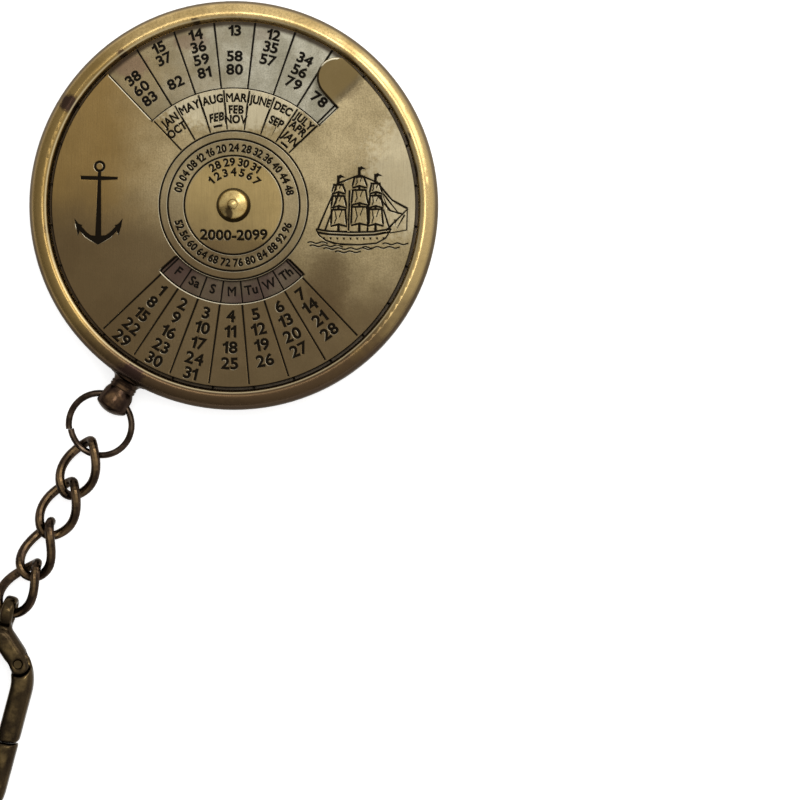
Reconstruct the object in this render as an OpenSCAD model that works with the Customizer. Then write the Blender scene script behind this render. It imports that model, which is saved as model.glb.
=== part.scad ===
// Perpetual calendar keyring. A turned case holds a fixed year dial and a turning month plate, and a
// pendant, a jump ring, four curb links and a push-gate clasp hang from its rim.
// Millimetres, +Z up. The case lies on its back, and the origin is the centre of its back face.

/* [Case] */
// Outer diameter of the case
case_d = 51.2; // [47:0.2:56]
// Height of the rim above the back face
case_h = 6; // [5.6:0.1:7.5]
// Thickness of the solid back under the dial
back_t = 3.9; // [3.4:0.1:4.3]
// Radial width of the rim
rim_w = 2.4; // [2.3:0.05:3]
// Rounding of the rim's outer top edge
rim_outer_round = 1.4; // [0.8:0.1:1.5]
// Rounding of the rim's inner top edge
rim_inner_round = 0.85; // [0.3:0.05:0.9]
// Rounding of the edge between the side and the back face
base_round = 1.3; // [0.6:0.1:1.6]
// Radial gap between the year dial and the recess it is laid in
dial_fit = 0.05; // [0.02:0.01:0.15]

/* [Dial and plate] */
// Thickness of the year dial
dial_t = 0.5; // [0.4:0.05:0.7]
// Angle that the year dial is turned by, clockwise
dial_angle = 0.4; // [-6:0.1:6]
// Outer diameter of the friction washer
washer_d = 9; // [6:0.5:16]
// Thickness of the friction washer
washer_t = 0.15; // [0.1:0.05:0.3]
// Thickness of the month plate
plate_t = 0.6; // [0.4:0.05:0.8]
// Radial gap between the month plate and the rim
plate_gap = 0.42; // [0.3:0.02:0.8]
// Angle that the month plate is turned by, clockwise
plate_angle = 1.5; // [-180:0.5:180]
// Inner radius of the open year window
year_window_r = 14.75; // [13.5:0.05:16]
// Width of the year window in columns of the dial
window_columns = 7; // [5:1:9]
// Number of year columns round the dial
dial_columns = 28; // [28:1:28]
// Inner radius of the weekday slot
day_slot_r = 9.5; // [8.5:0.05:10]
// Radial width of the weekday slot
day_slot_w = 2.7; // [2:0.05:3.2]
// Angle that the weekday slot is wider than its columns
day_slot_extra = 3; // [0:0.5:8]

/* [Finger tab] */
// Length of the tab in plan, from the window's edge
tab_l = 5; // [4:0.1:6]
// Width of the tab
tab_w = 5; // [4:0.1:6]
// Inside radius of the tab's bend
tab_bend_r = 2; // [1:0.1:3]
// Angle that the tab is bent up by
tab_lift = 24; // [10:1:35]

/* [Rivet] */
// Diameter of the shank through the case
shank_d = 2.2; // [1.8:0.1:2.6]
// Gap between the shank and its hole
shank_fit = 0.02; // [0.01:0.01:0.05]
// Diameter of the shoulder that the plate turns on
bearing_d = 3.1; // [2.8:0.1:3.4]
// Running gap between the shoulder and the plate's hole
bearing_fit = 0.05; // [0.02:0.01:0.1]
// Play of the plate under the button
button_play = 0.04; // [0.02:0.01:0.1]
// Diameter of the button at its base
button_d = 4.3; // [4:0.1:6]
// Diameter of the button's top face
button_top_d = 3.45; // [2.8:0.05:5]
// Height of the button's side
button_h = 1.3; // [0.8:0.1:2]
// Height of the cone and its tip over the side
button_cone_h = 0.75; // [0.4:0.05:1.2]
// Diameter of the tip on the cone
button_tip_d = 1.2; // [0.8:0.1:1.6]
// Diameter of the tail peened in the back
tail_d = 4.2; // [3.2:0.1:5]
// Depth of the countersink for the tail
tail_depth = 1; // [0.6:0.1:1.4]

/* [Pendant] */
// Direction of the pendant, clockwise from the top of the dial
pendant_clock = 211.7; // [180:0.1:360]
// Height of the pendant's axis above the back face
pendant_z = 3; // [2.6:0.1:3.6]
// Diameter of the stud in the rim
stud_d = 1.8; // [1.4:0.1:2.2]
// Length of the stud in the rim
stud_l = 3.2; // [2:0.1:5]
// Gap between the stud and its hole
stud_fit = 0.02; // [0.01:0.01:0.05]
// Diameter of the neck
neck_d = 3.2; // [2.8:0.1:3.6]
// Length of the neck with its flared foot
neck_l = 1.5; // [1.5:0.1:2.5]
// Radius of the flare from the neck to the rim
foot_flare_r = 0.8; // [0.5:0.05:0.9]
// Width of each of the two bands round the neck
band_w = 0.28; // [0.2:0.02:0.3]
// Height of the bands over the neck
band_rise = 0.1; // [0.05:0.01:0.15]
// Diameter of the round head
head_d = 4.2; // [3.8:0.1:5]
// Length of the head
head_l = 3.3; // [3.1:0.1:4]
// Radius of the swell of the head's side
head_swell_r = 4; // [3.5:0.1:6]
// Length of the head's straight part, behind its rounded edge
head_land = 0.4; // [0.1:0.05:0.6]
// Rounding of the edge of the head's end
head_edge_r = 0.5; // [0.2:0.05:0.7]
// Radius of the head's domed end
head_dome_r = 3.3; // [2.8:0.1:6]
// Distance of the cross hole from the rim
hole_reach = 2.95; // [2.8:0.05:3.4]
// Depth of the hole's countersunk mouths
hole_mouth = 0.4; // [0.3:0.05:0.6]
// Gap round the wire of the ring in its hole
hole_play = 0.1; // [0.06:0.01:0.15]

/* [Jump ring] */
// Radius of the ring to the centre of its wire
ring_r = 3.96; // [3.6:0.02:5]
// Wire diameter of the ring
ring_wire = 0.82; // [0.6:0.02:0.9]
// Angle that the ring hangs down by from the pendant
ring_tilt = 8.5; // [6:0.5:11]
// Place of the butt cut round the ring
cut_angle = 50.5; // [30:0.5:150]
// Width of the butt cut
cut_gap = 0.06; // [0.05:0.01:0.3]
// Distance that the two ends miss each other by
cut_step = 0.22; // [0:0.02:0.3]
// Place round the ring where the first link hangs
hook_angle = -5.5; // [-20:0.5:20]

/* [Curb links] */
// Number of links, at most four
link_count = 4; // [4:1:4]
// Outside length of a link
link_l = 8.65; // [8:0.05:9.5]
// Outside width of a link
link_w = 5.55; // [5.3:0.05:6.5]
// Wire diameter of a link
link_wire = 1.17; // [0.8:0.01:1.2]
// Twist of each end of a link about its long axis
link_twist = 51.5; // [45:0.5:60]
// Fullness of the link's oval, 2 for an ellipse
link_fullness = 2.15; // [2:0.05:3]
// Play between two links along the chain
link_slack = 0.64; // [0.4:0.02:0.8]
// Play between the last two links
last_slack = 0.86; // [0.5:0.02:1]
// Play between the first link and the ring
ring_slack = 0.57; // [0.3:0.01:0.7]
// Play between the last link and the clasp's eye
eye_slack = 0.78; // [0.6:0.02:0.9]
// Distance of the eye's centre from the line of the chain
eye_offset = -0.05; // [-0.2:0.05:0.2]
// Direction that the chain lies in
chain_heading = -116.1; // [-125:0.1:-110]
// Angle that each link's long axis lies off the direction of the chain
link_skews = [3.5, 0.4, 4.1, -7.8]; // [-10:0.1:10]
// Roll of each link about its long axis
link_rolls = [-13.3, -13.2, -37, -29.3]; // [-45:0.1:0]

/* [Clasp] */
// Direction that the clasp's axis is turned by
clasp_heading = -15; // [-25:1:-5]
// Thickness of the clasp
clasp_t = 3.1; // [2.8:0.1:3.6]
// Width of its arms
arm_w = 2.8; // [2.4:0.1:3.2]
// Rounding of its arms' edges
arm_round = 1.05; // [0.4:0.05:1.15]
// Outside width of the clasp
clasp_w = 10.9; // [10:0.1:13]
// Distance from the eye's centre to the far end of the clasp
clasp_l = 27.6; // [24:0.2:34]
// Radius of the eye's hole, which the last link goes through
eye_hole_r = 1.07; // [1:0.01:1.2]
// Thickness of the eye round its hole
eye_wall = 1; // [0.8:0.05:1.2]
// Width of the eye along its hole
eye_w = 1.8; // [1.4:0.1:2]
// Diameter of the neck behind the eye
clasp_neck_d = 1.56; // [1.4:0.02:2]
// Distance from the eye's centre to where the arms run parallel
shoulder_reach = 9.2; // [8.8:0.1:11]
// Angle that each shoulder turns through
shoulder_turn = 48; // [44:1:52]
// Radius of the shoulder to the centre of the arm
shoulder_r = 5.6; // [5:0.1:6]
// Place of the gate's pin round the shoulder
pin_turn = 36; // [30:1:42]
// Diameter of the gate's pin
pin_d = 1; // [0.8:0.05:1.2]
// Gap between the pin and the clasp's cheeks
pin_seat_fit = 0.01; // [0.01:0.01:0.02]
// Running gap between the pin and the gate
pin_fit = 0.05; // [0.02:0.01:0.1]
// Thickness of the gate's tongue between the cheeks
tongue_t = 0.85; // [0.7:0.05:1]
// Gap on each side of the tongue and of the spring's coil
tongue_fit = 0.06; // [0.03:0.01:0.08]
// Gap between the gate and the rounded ends of the cheeks
cheek_gap = 0.15; // [0.1:0.01:0.3]
// Reach of the gate from its pin
gate_reach = 10.05; // [9:0.05:11.5]
// Gap of the seam between the gate and the nose
seam_gap = 0.12; // [0.08:0.01:0.3]
// Wire diameter of the gate's spring
spring_wire = 0.2; // [0.16:0.02:0.22]
// Full turns of the gate's spring
spring_turns = 2; // [1:1:2]
// Gap between the spring's coil and the pin
spring_fit = 0.08; // [0.04:0.01:0.12]

/* [Hidden] */
$fn = 96;

// A little extra that a cutting shape is longer or wider than what it cuts
over = 1;
// Length that two solids of one piece run into each other
lap = 0.2;

// Case, dial and plate
case_r = case_d / 2;
recess_r = case_r - rim_w;
dial_top = back_t + dial_t;
plate_z = dial_top + washer_t;
plate_top = plate_z + plate_t;
dial_r = recess_r - dial_fit;
plate_r = recess_r - plate_gap;
column = 360 / dial_columns;
window_turn = window_columns * column;
tab_inset = 0.05;
tab_root = 0.5;
bend_steps = 8;

// Rivet
shank_r = shank_d / 2;
bearing_r = bearing_d / 2;
button_z = plate_top + button_play;
button_edge = 0.08;

// Pendant and jump ring
pendant_heading = 90 - pendant_clock;
head_start = case_r + neck_l;
head_end = head_start + head_l;
hole_x = case_r + hole_reach;
bore_half = head_d / 2 - hole_mouth;
ring_sag = ring_r - sqrt(pow(ring_r, 2) - pow(bore_half, 2));
hole_r = ring_wire / 2 / cos(asin(bore_half / ring_r)) + ring_sag / 2 + hole_play;
pendant_dir = [cos(pendant_heading), sin(pendant_heading), 0];
hole_c = hole_x * pendant_dir + [0, 0, pendant_z];
ring_dir = cos(ring_tilt) * pendant_dir - [0, 0, sin(ring_tilt)];
ring_side = [pendant_dir[1], -pendant_dir[0], 0];
ring_c = hole_c + (ring_r - ring_sag / 2) * ring_dir;
ring_rise = cross(ring_dir, ring_side);

// Chain
chain_dir = [cos(chain_heading), sin(chain_heading), 0];
link_pitch = link_l - 2 * link_wire - link_slack;
hook_point = ring_c + ring_r * (cos(hook_angle) * ring_dir + sin(hook_angle) * ring_side);
hook_reach = link_l / 2 - link_wire - ring_wire / 2 - ring_slack;
eye_r = eye_hole_r + eye_wall;
eye_reach = link_l / 2 - link_wire + eye_hole_r - eye_slack;
chain_side = [-chain_dir[1], chain_dir[0], 0];
last_step = link_slack - last_slack;
eye_c = [hook_point[0], hook_point[1], eye_r]
    + (hook_reach + (link_count - 1) * link_pitch + last_step + eye_reach) * chain_dir + eye_offset * chain_side;
wire_sides = 12;
link_rings = 48;
ring_rings = 52;
spring_rings = 16;

// Clasp, in its own frame: the eye's centre is its origin and the clasp points along -Y
clasp_pitch = asin((eye_r - clasp_t / 2) / (clasp_l - arm_round));
arm_x = (clasp_w - arm_w) / 2;
end_y = -(clasp_l - clasp_w / 2);
shoulder_c = [arm_x - shoulder_r, -shoulder_reach];
cheek_ease = 0.06;
pin_at = shoulder_c + shoulder_r * [cos(pin_turn), sin(pin_turn)];
cheek_r = arm_w / 2 + cheek_ease;
slot_r = arm_w / 2 + cheek_gap;
root_ease = 0.02;
cone_ease = 0.08;
spring_pitch = 1.05 * spring_wire;
spring_r = pin_d / 2 + spring_fit + spring_wire / 2;
leg_l = sqrt(pow(slot_r - spring_wire, 2) - pow(spring_r, 2));
leg_turn = atan(leg_l / spring_r);
leg_in = pin_turn + 90 + leg_turn;
leg_out = pin_turn + 270 - leg_turn + 360 * spring_turns;
spring_h = spring_pitch * (leg_out - leg_in) / 360 + spring_wire;
slot_t = tongue_t + spring_h + 3 * tongue_fit;
tongue_z = tongue_fit - slot_t / 2;
spring_z = slot_t / 2 - tongue_fit - spring_h + spring_wire / 2;

// What a rounding of radius r takes off the corner that points along the angle given
module corner_waste(r, angle) {
    rotate(angle) difference() {
        square(r + over);
        circle(r);
    }
}

// Half the case's section, without the recess
module case_outline() {
    difference() {
        square([case_r, case_h]);
        translate([case_r - rim_outer_round, case_h - rim_outer_round]) corner_waste(rim_outer_round, 0);
        translate([case_r - base_round, base_round]) corner_waste(base_round, -90);
    }
}

// A ring of the given radii and height that spans an angle from start, anticlockwise
module ring_sector(r_in, r_out, h, start, turn) {
    rotate(start) rotate_extrude(angle = turn) translate([r_in, 0]) square([r_out - r_in, h]);
}

module case() {
    color([0.66, 0.55, 0.30]) difference() {
        rotate_extrude() difference() {
            case_outline();
            translate([-over, back_t]) square([recess_r + over, case_h]);
            translate([recess_r + rim_inner_round, case_h - rim_inner_round])
                rotate(90) difference() {
                    square([rim_inner_round + over, rim_inner_round]);
                    circle(rim_inner_round);
                }
        }
        translate([0, 0, -over]) cylinder(h = back_t + 2 * over, r = shank_r + shank_fit);
        cylinder(h = tail_depth, r1 = tail_d / 2 + shank_fit, r2 = shank_r + shank_fit);
        rotate(pendant_heading) translate([case_r - stud_l, 0, pendant_z]) rotate([0, 90, 0])
            cylinder(h = stud_l + over, d = stud_d + 2 * stud_fit);
    }
}

// The years are etched into this disc in columns, and the month plate shows seven of them
module year_dial() {
    color([0.62, 0.57, 0.42]) rotate(-dial_angle) translate([0, 0, back_t]) difference() {
        cylinder(h = dial_t, r = dial_r);
        translate([0, 0, -over]) cylinder(h = dial_t + 2 * over, r = shank_r + shank_fit);
    }
}

module friction_washer() {
    color([0.45, 0.42, 0.36]) translate([0, 0, dial_top]) difference() {
        cylinder(h = washer_t, d = washer_d);
        translate([0, 0, -over]) cylinder(h = washer_t + 2 * over, r = bearing_r + bearing_fit);
    }
}

// The strip of the tab lies along X from the origin outwards, and bends up from the XZ plane towards +Y
module tab_strip() {
    flat = tab_l / cos(tab_lift);
    under = [for (i = [0 : bend_steps]) bend_point(tab_bend_r + plate_t, i), bend_end(tab_bend_r + plate_t, flat)];
    over_it = [bend_end(tab_bend_r, flat), for (i = [bend_steps : -1 : 0]) bend_point(tab_bend_r, i)];
    translate([0, 0, plate_top + tab_bend_r]) rotate([90, 0, 90]) linear_extrude(tab_w)
        polygon(concat([[-tab_root, -tab_bend_r - plate_t]], under, over_it, [[-tab_root, -tab_bend_r]]));
}

function bend_point(r, i) = r * [sin(tab_lift * i / bend_steps), -cos(tab_lift * i / bend_steps)];

function bend_end(r, flat) = bend_point(r, bend_steps) + flat * [cos(tab_lift), sin(tab_lift)];

module finger_tab() {
    intersection() {
        tab_strip();
        union() {
            translate([0, -tab_root, 0]) cube([tab_w, tab_root + tab_l - tab_w / 2, case_h + tab_l]);
            translate([tab_w / 2, tab_l - tab_w / 2, 0]) cylinder(h = case_h + tab_l, d = tab_w);
        }
    }
}

module month_plate() {
    color([0.68, 0.60, 0.38]) rotate(-plate_angle) {
        difference() {
            translate([0, 0, plate_z]) cylinder(h = plate_t, r = plate_r);
            translate([0, 0, plate_z - over])
                cylinder(h = plate_t + 2 * over, r = bearing_r + bearing_fit);
            translate([0, 0, plate_z - over])
                ring_sector(year_window_r, plate_r + over, plate_t + 2 * over, 90 - window_turn / 2, window_turn);
            translate([0, 0, plate_z - over])
                ring_sector(day_slot_r, day_slot_r + day_slot_w, plate_t + 2 * over,
                            -90 - (window_turn + day_slot_extra) / 2, window_turn + day_slot_extra);
        }
        rotate(90 - window_turn / 2) translate([plate_r - tab_w - tab_inset, 0, 0]) finger_tab();
    }
}

// Tail, shank, shoulder and pointed button are one turned piece
module centre_rivet() {
    tip_r = button_tip_d / 2;
    top_r = button_top_d / 2;
    side_top = button_z + button_h;
    cone_top = side_top + 0.6 * button_cone_h;
    color([0.72, 0.58, 0.28]) rotate_extrude() polygon([
        [0, 0], [tail_d / 2, 0], [shank_r, tail_depth], [shank_r, dial_top],
        [bearing_r, dial_top], [bearing_r, button_z],
        [button_d / 2, button_z], [button_d / 2, button_z + 3 * button_edge],
        [top_r + button_edge, side_top - button_edge], [top_r, side_top],
        [tip_r, cone_top], [0.75 * tip_r, side_top + button_cone_h - button_edge / 2],
        [0, side_top + button_cone_h]
    ]);
}

// The head's section on its axis, with the swell of its side, its rounded edge and its domed end
module head_outline() {
    head_r = head_d / 2;
    edge_x = head_r - head_edge_r;
    dome_y = head_end - head_dome_r;
    edge_y = dome_y + sqrt(pow(head_dome_r - head_edge_r, 2) - pow(edge_x, 2));
    land_y = edge_y - head_land;
    reach = head_dome_r / (head_dome_r - head_edge_r);
    meet = [reach * edge_x, dome_y + reach * (edge_y - dome_y)];
    intersection() {
        translate([0, head_start]) square([head_r, land_y - head_start]);
        translate([head_r - head_swell_r, land_y]) circle(head_swell_r);
    }
    polygon([[0, land_y - lap], [edge_x, land_y - lap], [head_r, land_y], [head_r, edge_y], [edge_x, edge_y], meet, [0, meet[1]]]);
    translate([edge_x, edge_y]) circle(head_edge_r);
    intersection() {
        translate([0, edge_y]) square([meet[0], head_end]);
        translate([0, dome_y]) circle(head_dome_r);
    }
}

// The pendant's section, with its axis up and the case's axis at the origin
module pendant_outline() {
    translate([0, case_r - stud_l]) square([stud_d / 2, stud_l]);
    translate([0, case_r - over]) square([neck_d / 2, over + neck_l + lap]);
    difference() {
        translate([0, case_r - over]) square([neck_d / 2 + foot_flare_r, over + foot_flare_r]);
        translate([neck_d / 2 + foot_flare_r, case_r + foot_flare_r]) circle(foot_flare_r);
    }
    for (i = [1, 2]) translate([0, head_start - 1.35 * i * band_w]) square([neck_d / 2 + band_rise, band_w]);
    intersection() {
        head_outline();
        translate([0, head_start]) square([head_d, head_l]);
    }
}

module pendant() {
    color([0.36, 0.28, 0.16]) rotate(pendant_heading) difference() {
        translate([0, 0, pendant_z]) rotate([0, 90, 0]) rotate_extrude() pendant_outline();
        // The foot is cut to the rim's side, and only the stud goes on into the rim
        difference() {
            rotate_extrude() case_outline();
            translate([0, 0, pendant_z]) rotate([0, 90, 0]) cylinder(h = case_d, d = stud_d);
        }
        translate([hole_x, 0, pendant_z]) {
            rotate([90, 0, 0]) cylinder(h = 2 * head_d, r = hole_r, center = true);
            for (side = [-90, 90]) rotate([side, 0, 0])
                translate([0, 0, bore_half]) cylinder(h = head_d, r1 = hole_r, r2 = hole_r + head_d);
        }
    }
}

// A round wire swept along the points given. An open wire has flat ends.
module wire(points, d, closed, rise) {
    n = len(points);
    ahead = [for (i = [0 : n - 1]) points[closed ? (i + 1) % n : min(i + 1, n - 1)]];
    behind = [for (i = [0 : n - 1]) points[closed ? (i + n - 1) % n : max(i - 1, 0)]];
    rims = [for (i = [0 : n - 1])
        let (
            along = (ahead[i] - behind[i]) / norm(ahead[i] - behind[i]),
            aside = cross(along, rise[i]) / norm(cross(along, rise[i])),
            up = cross(aside, along)
        )
        for (k = [0 : wire_sides - 1])
            let (a = 360 * k / wire_sides) points[i] + d / 2 * (cos(a) * aside + sin(a) * up)
    ];
    spans = closed ? n : n - 1;
    skin = [for (i = [0 : spans - 1], k = [0 : wire_sides - 1])
        let (
            j = (i + 1) % n,
            m = (k + 1) % wire_sides
        )
        [i * wire_sides + k, i * wire_sides + m, j * wire_sides + m, j * wire_sides + k]
    ];
    ends = closed ? [] : [
        [for (k = [wire_sides - 1 : -1 : 0]) k],
        [for (k = [0 : wire_sides - 1]) (n - 1) * wire_sides + k]
    ];
    polyhedron(points = rims, faces = concat(skin, ends), convexity = 8);
}

// The ring is coiled a little, so the two ends of its wire miss each other at the butt cut
function ring_point(t) =
    let (
        half_cut = cut_gap / 2 / ring_r * 180 / PI,
        a = cut_angle + half_cut + t * (360 - 2 * half_cut),
        r = ring_r + cut_step * (0.5 - t)
    )
    ring_c + r * (cos(a) * ring_dir + sin(a) * ring_side);

module jump_ring() {
    color([0.42, 0.36, 0.26]) wire(
        [for (i = [0 : ring_rings]) ring_point(i / ring_rings)], ring_wire, false,
        [for (i = [0 : ring_rings]) ring_rise]
    );
}

function power_of(v, e) = sign(v) * pow(abs(v), e);

function rolled(p, angle) = [p[0] * cos(angle) + p[2] * sin(angle), p[1], p[2] * cos(angle) - p[0] * sin(angle)];

function turned(p, angle) = [p[0] * cos(angle) - p[1] * sin(angle), p[0] * sin(angle) + p[1] * cos(angle), p[2]];

// A point on the twisted oval of a link, with the link's long axis along Y
function link_point(a) =
    let (
        half_l = (link_l - link_wire) / 2,
        half_w = (link_w - link_wire) / 2,
        x = half_w * power_of(cos(a), 2 / link_fullness),
        y = half_l * power_of(sin(a), 2 / link_fullness),
        twist = link_twist * y / half_l
    )
    [x * cos(twist), y, x * sin(twist)];

// Each link lies on the surface under it, so its height follows from its roll
module curb_link(index) {
    roll = link_rolls[index - 1];
    heading = chain_heading + 90 + link_skews[index - 1];
    angles = [for (i = [0 : link_rings - 1]) 360 * (i + 0.5) / link_rings];
    flat_points = [for (a = angles) rolled(link_point(a), roll)];
    rest_z = link_wire / 2 - min([for (p = flat_points) p[2]]);
    step = hook_reach + (index - 1) * link_pitch + (index == link_count ? last_step : 0);
    middle = [hook_point[0], hook_point[1], rest_z] + step * chain_dir;
    points = [for (p = flat_points) turned(p, heading) + middle];
    color([0.50, 0.41, 0.24]) wire(points, link_wire, true, [for (p = points) p - middle]);
}

// Section of the clasp's arm, with its middle at the origin, fuller by ease on every side
module arm_section(ease = 0) {
    x = arm_w / 2 - arm_round;
    y = clasp_t / 2 - arm_round;
    square([arm_w + 2 * ease, 2 * y], center = true);
    square([2 * x, clasp_t + 2 * ease], center = true);
    for (i = [-1, 1], j = [-1, 1]) translate([i * x, j * y]) circle(arm_round + ease);
}

module shoulder_arc(turn) {
    translate([shoulder_c[0], shoulder_c[1], 0]) rotate_extrude(angle = turn) translate([shoulder_r, 0]) arm_section();
}

module straight_arm(from_y, to_y) {
    translate([arm_x, from_y, 0]) rotate([90, 0, 0]) linear_extrude(from_y - to_y) arm_section();
}

// The bar that runs on from a shoulder to the neck, cut off where it meets its mirror image
module root_bar() {
    run = (shoulder_c[0] + shoulder_r * cos(shoulder_turn)) / sin(shoulder_turn) + arm_w;
    intersection() {
        translate([shoulder_c[0], shoulder_c[1], 0]) rotate(shoulder_turn) translate([shoulder_r, -lap, 0])
            rotate([-90, 0, 0]) linear_extrude(run + lap) arm_section(root_ease);
        translate([0, -clasp_l, -clasp_t]) cube([clasp_w, clasp_l, 2 * clasp_t]);
    }
}

// The eye stands on edge, and its hole lies along X
module clasp_eye() {
    rotate([0, 90, 0]) rotate_extrude() translate([eye_hole_r + eye_wall / 2, 0]) {
        square([eye_wall, eye_w - eye_wall], center = true);
        for (side = [-1, 1]) translate([0, side * (eye_w - eye_wall) / 2]) circle(d = eye_wall);
    }
}

// Both bars, thinned by a cone towards the neck
module clasp_root() {
    neck_r = clasp_neck_d / 2;
    outer_r = shoulder_r + arm_w / 2 + root_ease;
    tip_y = shoulder_c[1] + (outer_r + shoulder_c[0] * cos(shoulder_turn)) / sin(shoulder_turn) + cone_ease;
    intersection() {
        union() {
            root_bar();
            mirror([1, 0, 0]) root_bar();
        }
        rotate([90, 0, 0]) translate([0, 0, -tip_y]) cylinder(h = clasp_w, r1 = 0, r2 = clasp_w * tan(shoulder_turn));
    }
    // The neck begins inside the eye's wall
    neck_y = eye_hole_r + 0.4 * eye_wall;
    rotate([90, 0, 0]) translate([0, 0, neck_y]) cylinder(h = shoulder_reach - shoulder_r - neck_y, r = neck_r);
}

// The clasp rests on its eye, which is wider than its arms are thick, and on its far end
module in_clasp_place() {
    translate(eye_c) rotate(clasp_heading) rotate([clasp_pitch, 0, 0]) children();
}

module clasp_body() {
    color([0.45, 0.37, 0.18]) in_clasp_place() difference() {
        union() {
            clasp_eye();
            clasp_root();
            mirror([1, 0, 0]) {
                shoulder_arc(shoulder_turn);
                straight_arm(-shoulder_reach, end_y);
            }
            translate([0, end_y, 0]) rotate(180) rotate_extrude(angle = 180) translate([arm_x, 0]) arm_section();
            // The nose, which ends at the seam
            difference() {
                straight_arm(-shoulder_reach, end_y);
                translate([pin_at[0], pin_at[1], -clasp_t])
                    cylinder(h = 2 * clasp_t, r = gate_reach + seam_gap);
            }
            // The two cheeks, with round ends about the pin
            intersection() {
                shoulder_arc(shoulder_turn);
                translate([pin_at[0], pin_at[1], -clasp_t]) {
                    cylinder(h = 2 * clasp_t, r = cheek_r);
                    rotate(pin_turn + 90) translate([0, -arm_w, 0]) cube([clasp_w, 2 * arm_w, 2 * clasp_t]);
                }
            }
        }
        translate([pin_at[0], pin_at[1], -slot_t / 2]) cylinder(h = slot_t, r = slot_r);
        translate([pin_at[0], pin_at[1], -clasp_t]) cylinder(h = 2 * clasp_t, d = pin_d + 2 * pin_seat_fit);
    }
}

module clasp_gate() {
    color([0.55, 0.45, 0.22]) in_clasp_place() difference() {
        union() {
            // The arm stops short of the cheeks and of the nose
            difference() {
                union() {
                    shoulder_arc(pin_turn);
                    straight_arm(-shoulder_reach, end_y);
                }
                translate([pin_at[0], pin_at[1], -clasp_t]) {
                    cylinder(h = 2 * clasp_t, r = slot_r);
                    difference() {
                        cylinder(h = 2 * clasp_t, r = clasp_l);
                        translate([0, 0, -over]) cylinder(h = 2 * clasp_t + 2 * over, r = gate_reach);
                    }
                }
            }
            // The tongue, which lies between the cheeks and under the spring
            intersection() {
                union() {
                    shoulder_arc(pin_turn);
                    translate([pin_at[0], pin_at[1], -clasp_t]) cylinder(h = 2 * clasp_t, d = arm_w);
                }
                translate([pin_at[0], pin_at[1], tongue_z]) cylinder(h = tongue_t, r = slot_r + cheek_gap);
            }
        }
        translate([pin_at[0], pin_at[1], -clasp_t]) cylinder(h = 2 * clasp_t, d = pin_d + 2 * pin_fit);
    }
}

module clasp_pin() {
    color([0.60, 0.50, 0.26]) in_clasp_place() translate([pin_at[0], pin_at[1], -clasp_t / 2])
        cylinder(h = clasp_t, d = pin_d);
}

function spring_point(a) =
    [spring_r * cos(a), spring_r * sin(a), spring_z + spring_pitch * (a - leg_in) / 360];

function leg_end(a, reach) = spring_point(a) + reach * [-sin(a), cos(a), 0];

// One leg of the coil rests against the body and the other against the gate
module clasp_spring() {
    steps = round(spring_rings * (leg_out - leg_in) / 360);
    points = concat(
        [leg_end(leg_in, -leg_l)],
        [for (i = [0 : steps]) spring_point(leg_in + (leg_out - leg_in) * i / steps)],
        [leg_end(leg_out, leg_l)]
    );
    color([0.5, 0.5, 0.5]) in_clasp_place() translate([pin_at[0], pin_at[1], 0])
        wire(points, spring_wire, false, [for (p = points) [0, 0, 1]]);
}

case();
year_dial();
friction_washer();
month_plate();
centre_rivet();
pendant();
jump_ring();
curb_link(1);  // link_1
curb_link(2);  // link_2
curb_link(3);  // link_3
curb_link(4);  // link_4
clasp_body();
clasp_gate();
clasp_pin();
clasp_spring();
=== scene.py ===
import bpy
import math
import numpy as np
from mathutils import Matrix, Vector, geometry


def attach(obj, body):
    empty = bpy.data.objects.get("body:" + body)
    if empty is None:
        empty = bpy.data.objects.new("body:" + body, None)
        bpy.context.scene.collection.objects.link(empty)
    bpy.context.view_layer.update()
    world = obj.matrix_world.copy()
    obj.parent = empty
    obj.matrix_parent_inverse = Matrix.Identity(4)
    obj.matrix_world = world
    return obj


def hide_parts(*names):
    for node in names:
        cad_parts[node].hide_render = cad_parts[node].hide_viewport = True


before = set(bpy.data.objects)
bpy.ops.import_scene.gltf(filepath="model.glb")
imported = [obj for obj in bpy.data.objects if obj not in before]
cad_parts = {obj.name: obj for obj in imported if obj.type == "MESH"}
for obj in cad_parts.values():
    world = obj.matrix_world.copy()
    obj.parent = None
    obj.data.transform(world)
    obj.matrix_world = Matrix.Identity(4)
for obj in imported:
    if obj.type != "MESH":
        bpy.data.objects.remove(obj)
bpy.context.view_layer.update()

# The keyring is photographed from straight above with a long lens, on a white table under a soft light
# that comes from the upper right. The table stays white and keeps the keyring's shadow.
MM = 0.001
lens = bpy.data.cameras.new("camera")
lens.lens = 108
lens.clip_start = 0.01
camera = bpy.data.objects.new("camera", lens)
camera.location = (20.8 * MM, -24.35 * MM, 305.1 * MM)
bpy.context.scene.collection.objects.link(camera)
bpy.context.scene.camera = camera
bpy.context.scene.view_settings.view_transform = "Standard"


def put(tree, kind, values=None, **settings):
    """Adds a node; a value is a number, a colour or the output that feeds the input of that name or place."""
    node = tree.nodes.new(kind)
    for name, setting in settings.items():
        setattr(node, name, setting)
    for name, value in (values or {}).items():
        if isinstance(value, bpy.types.NodeSocket):
            tree.links.new(value, node.inputs[name])
        else:
            node.inputs[name].default_value = value
    return node


def sum_of(tree, operation, a, b=0.0):
    """The result of one sum on two values or outputs."""
    return put(tree, "ShaderNodeMath", {0: a, 1: b}, operation=operation).outputs[0]


def measured_along(tree, place, way):
    """How far a place lies along a direction."""
    return put(tree, "ShaderNodeVectorMath", {0: place, 1: way}, operation="DOT_PRODUCT").outputs["Value"]


def blank_material(name):
    material = bpy.data.materials.new(name)
    material.use_nodes = True
    tree = material.node_tree
    tree.nodes.clear()
    return material, tree, put(tree, "ShaderNodeOutputMaterial")


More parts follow.
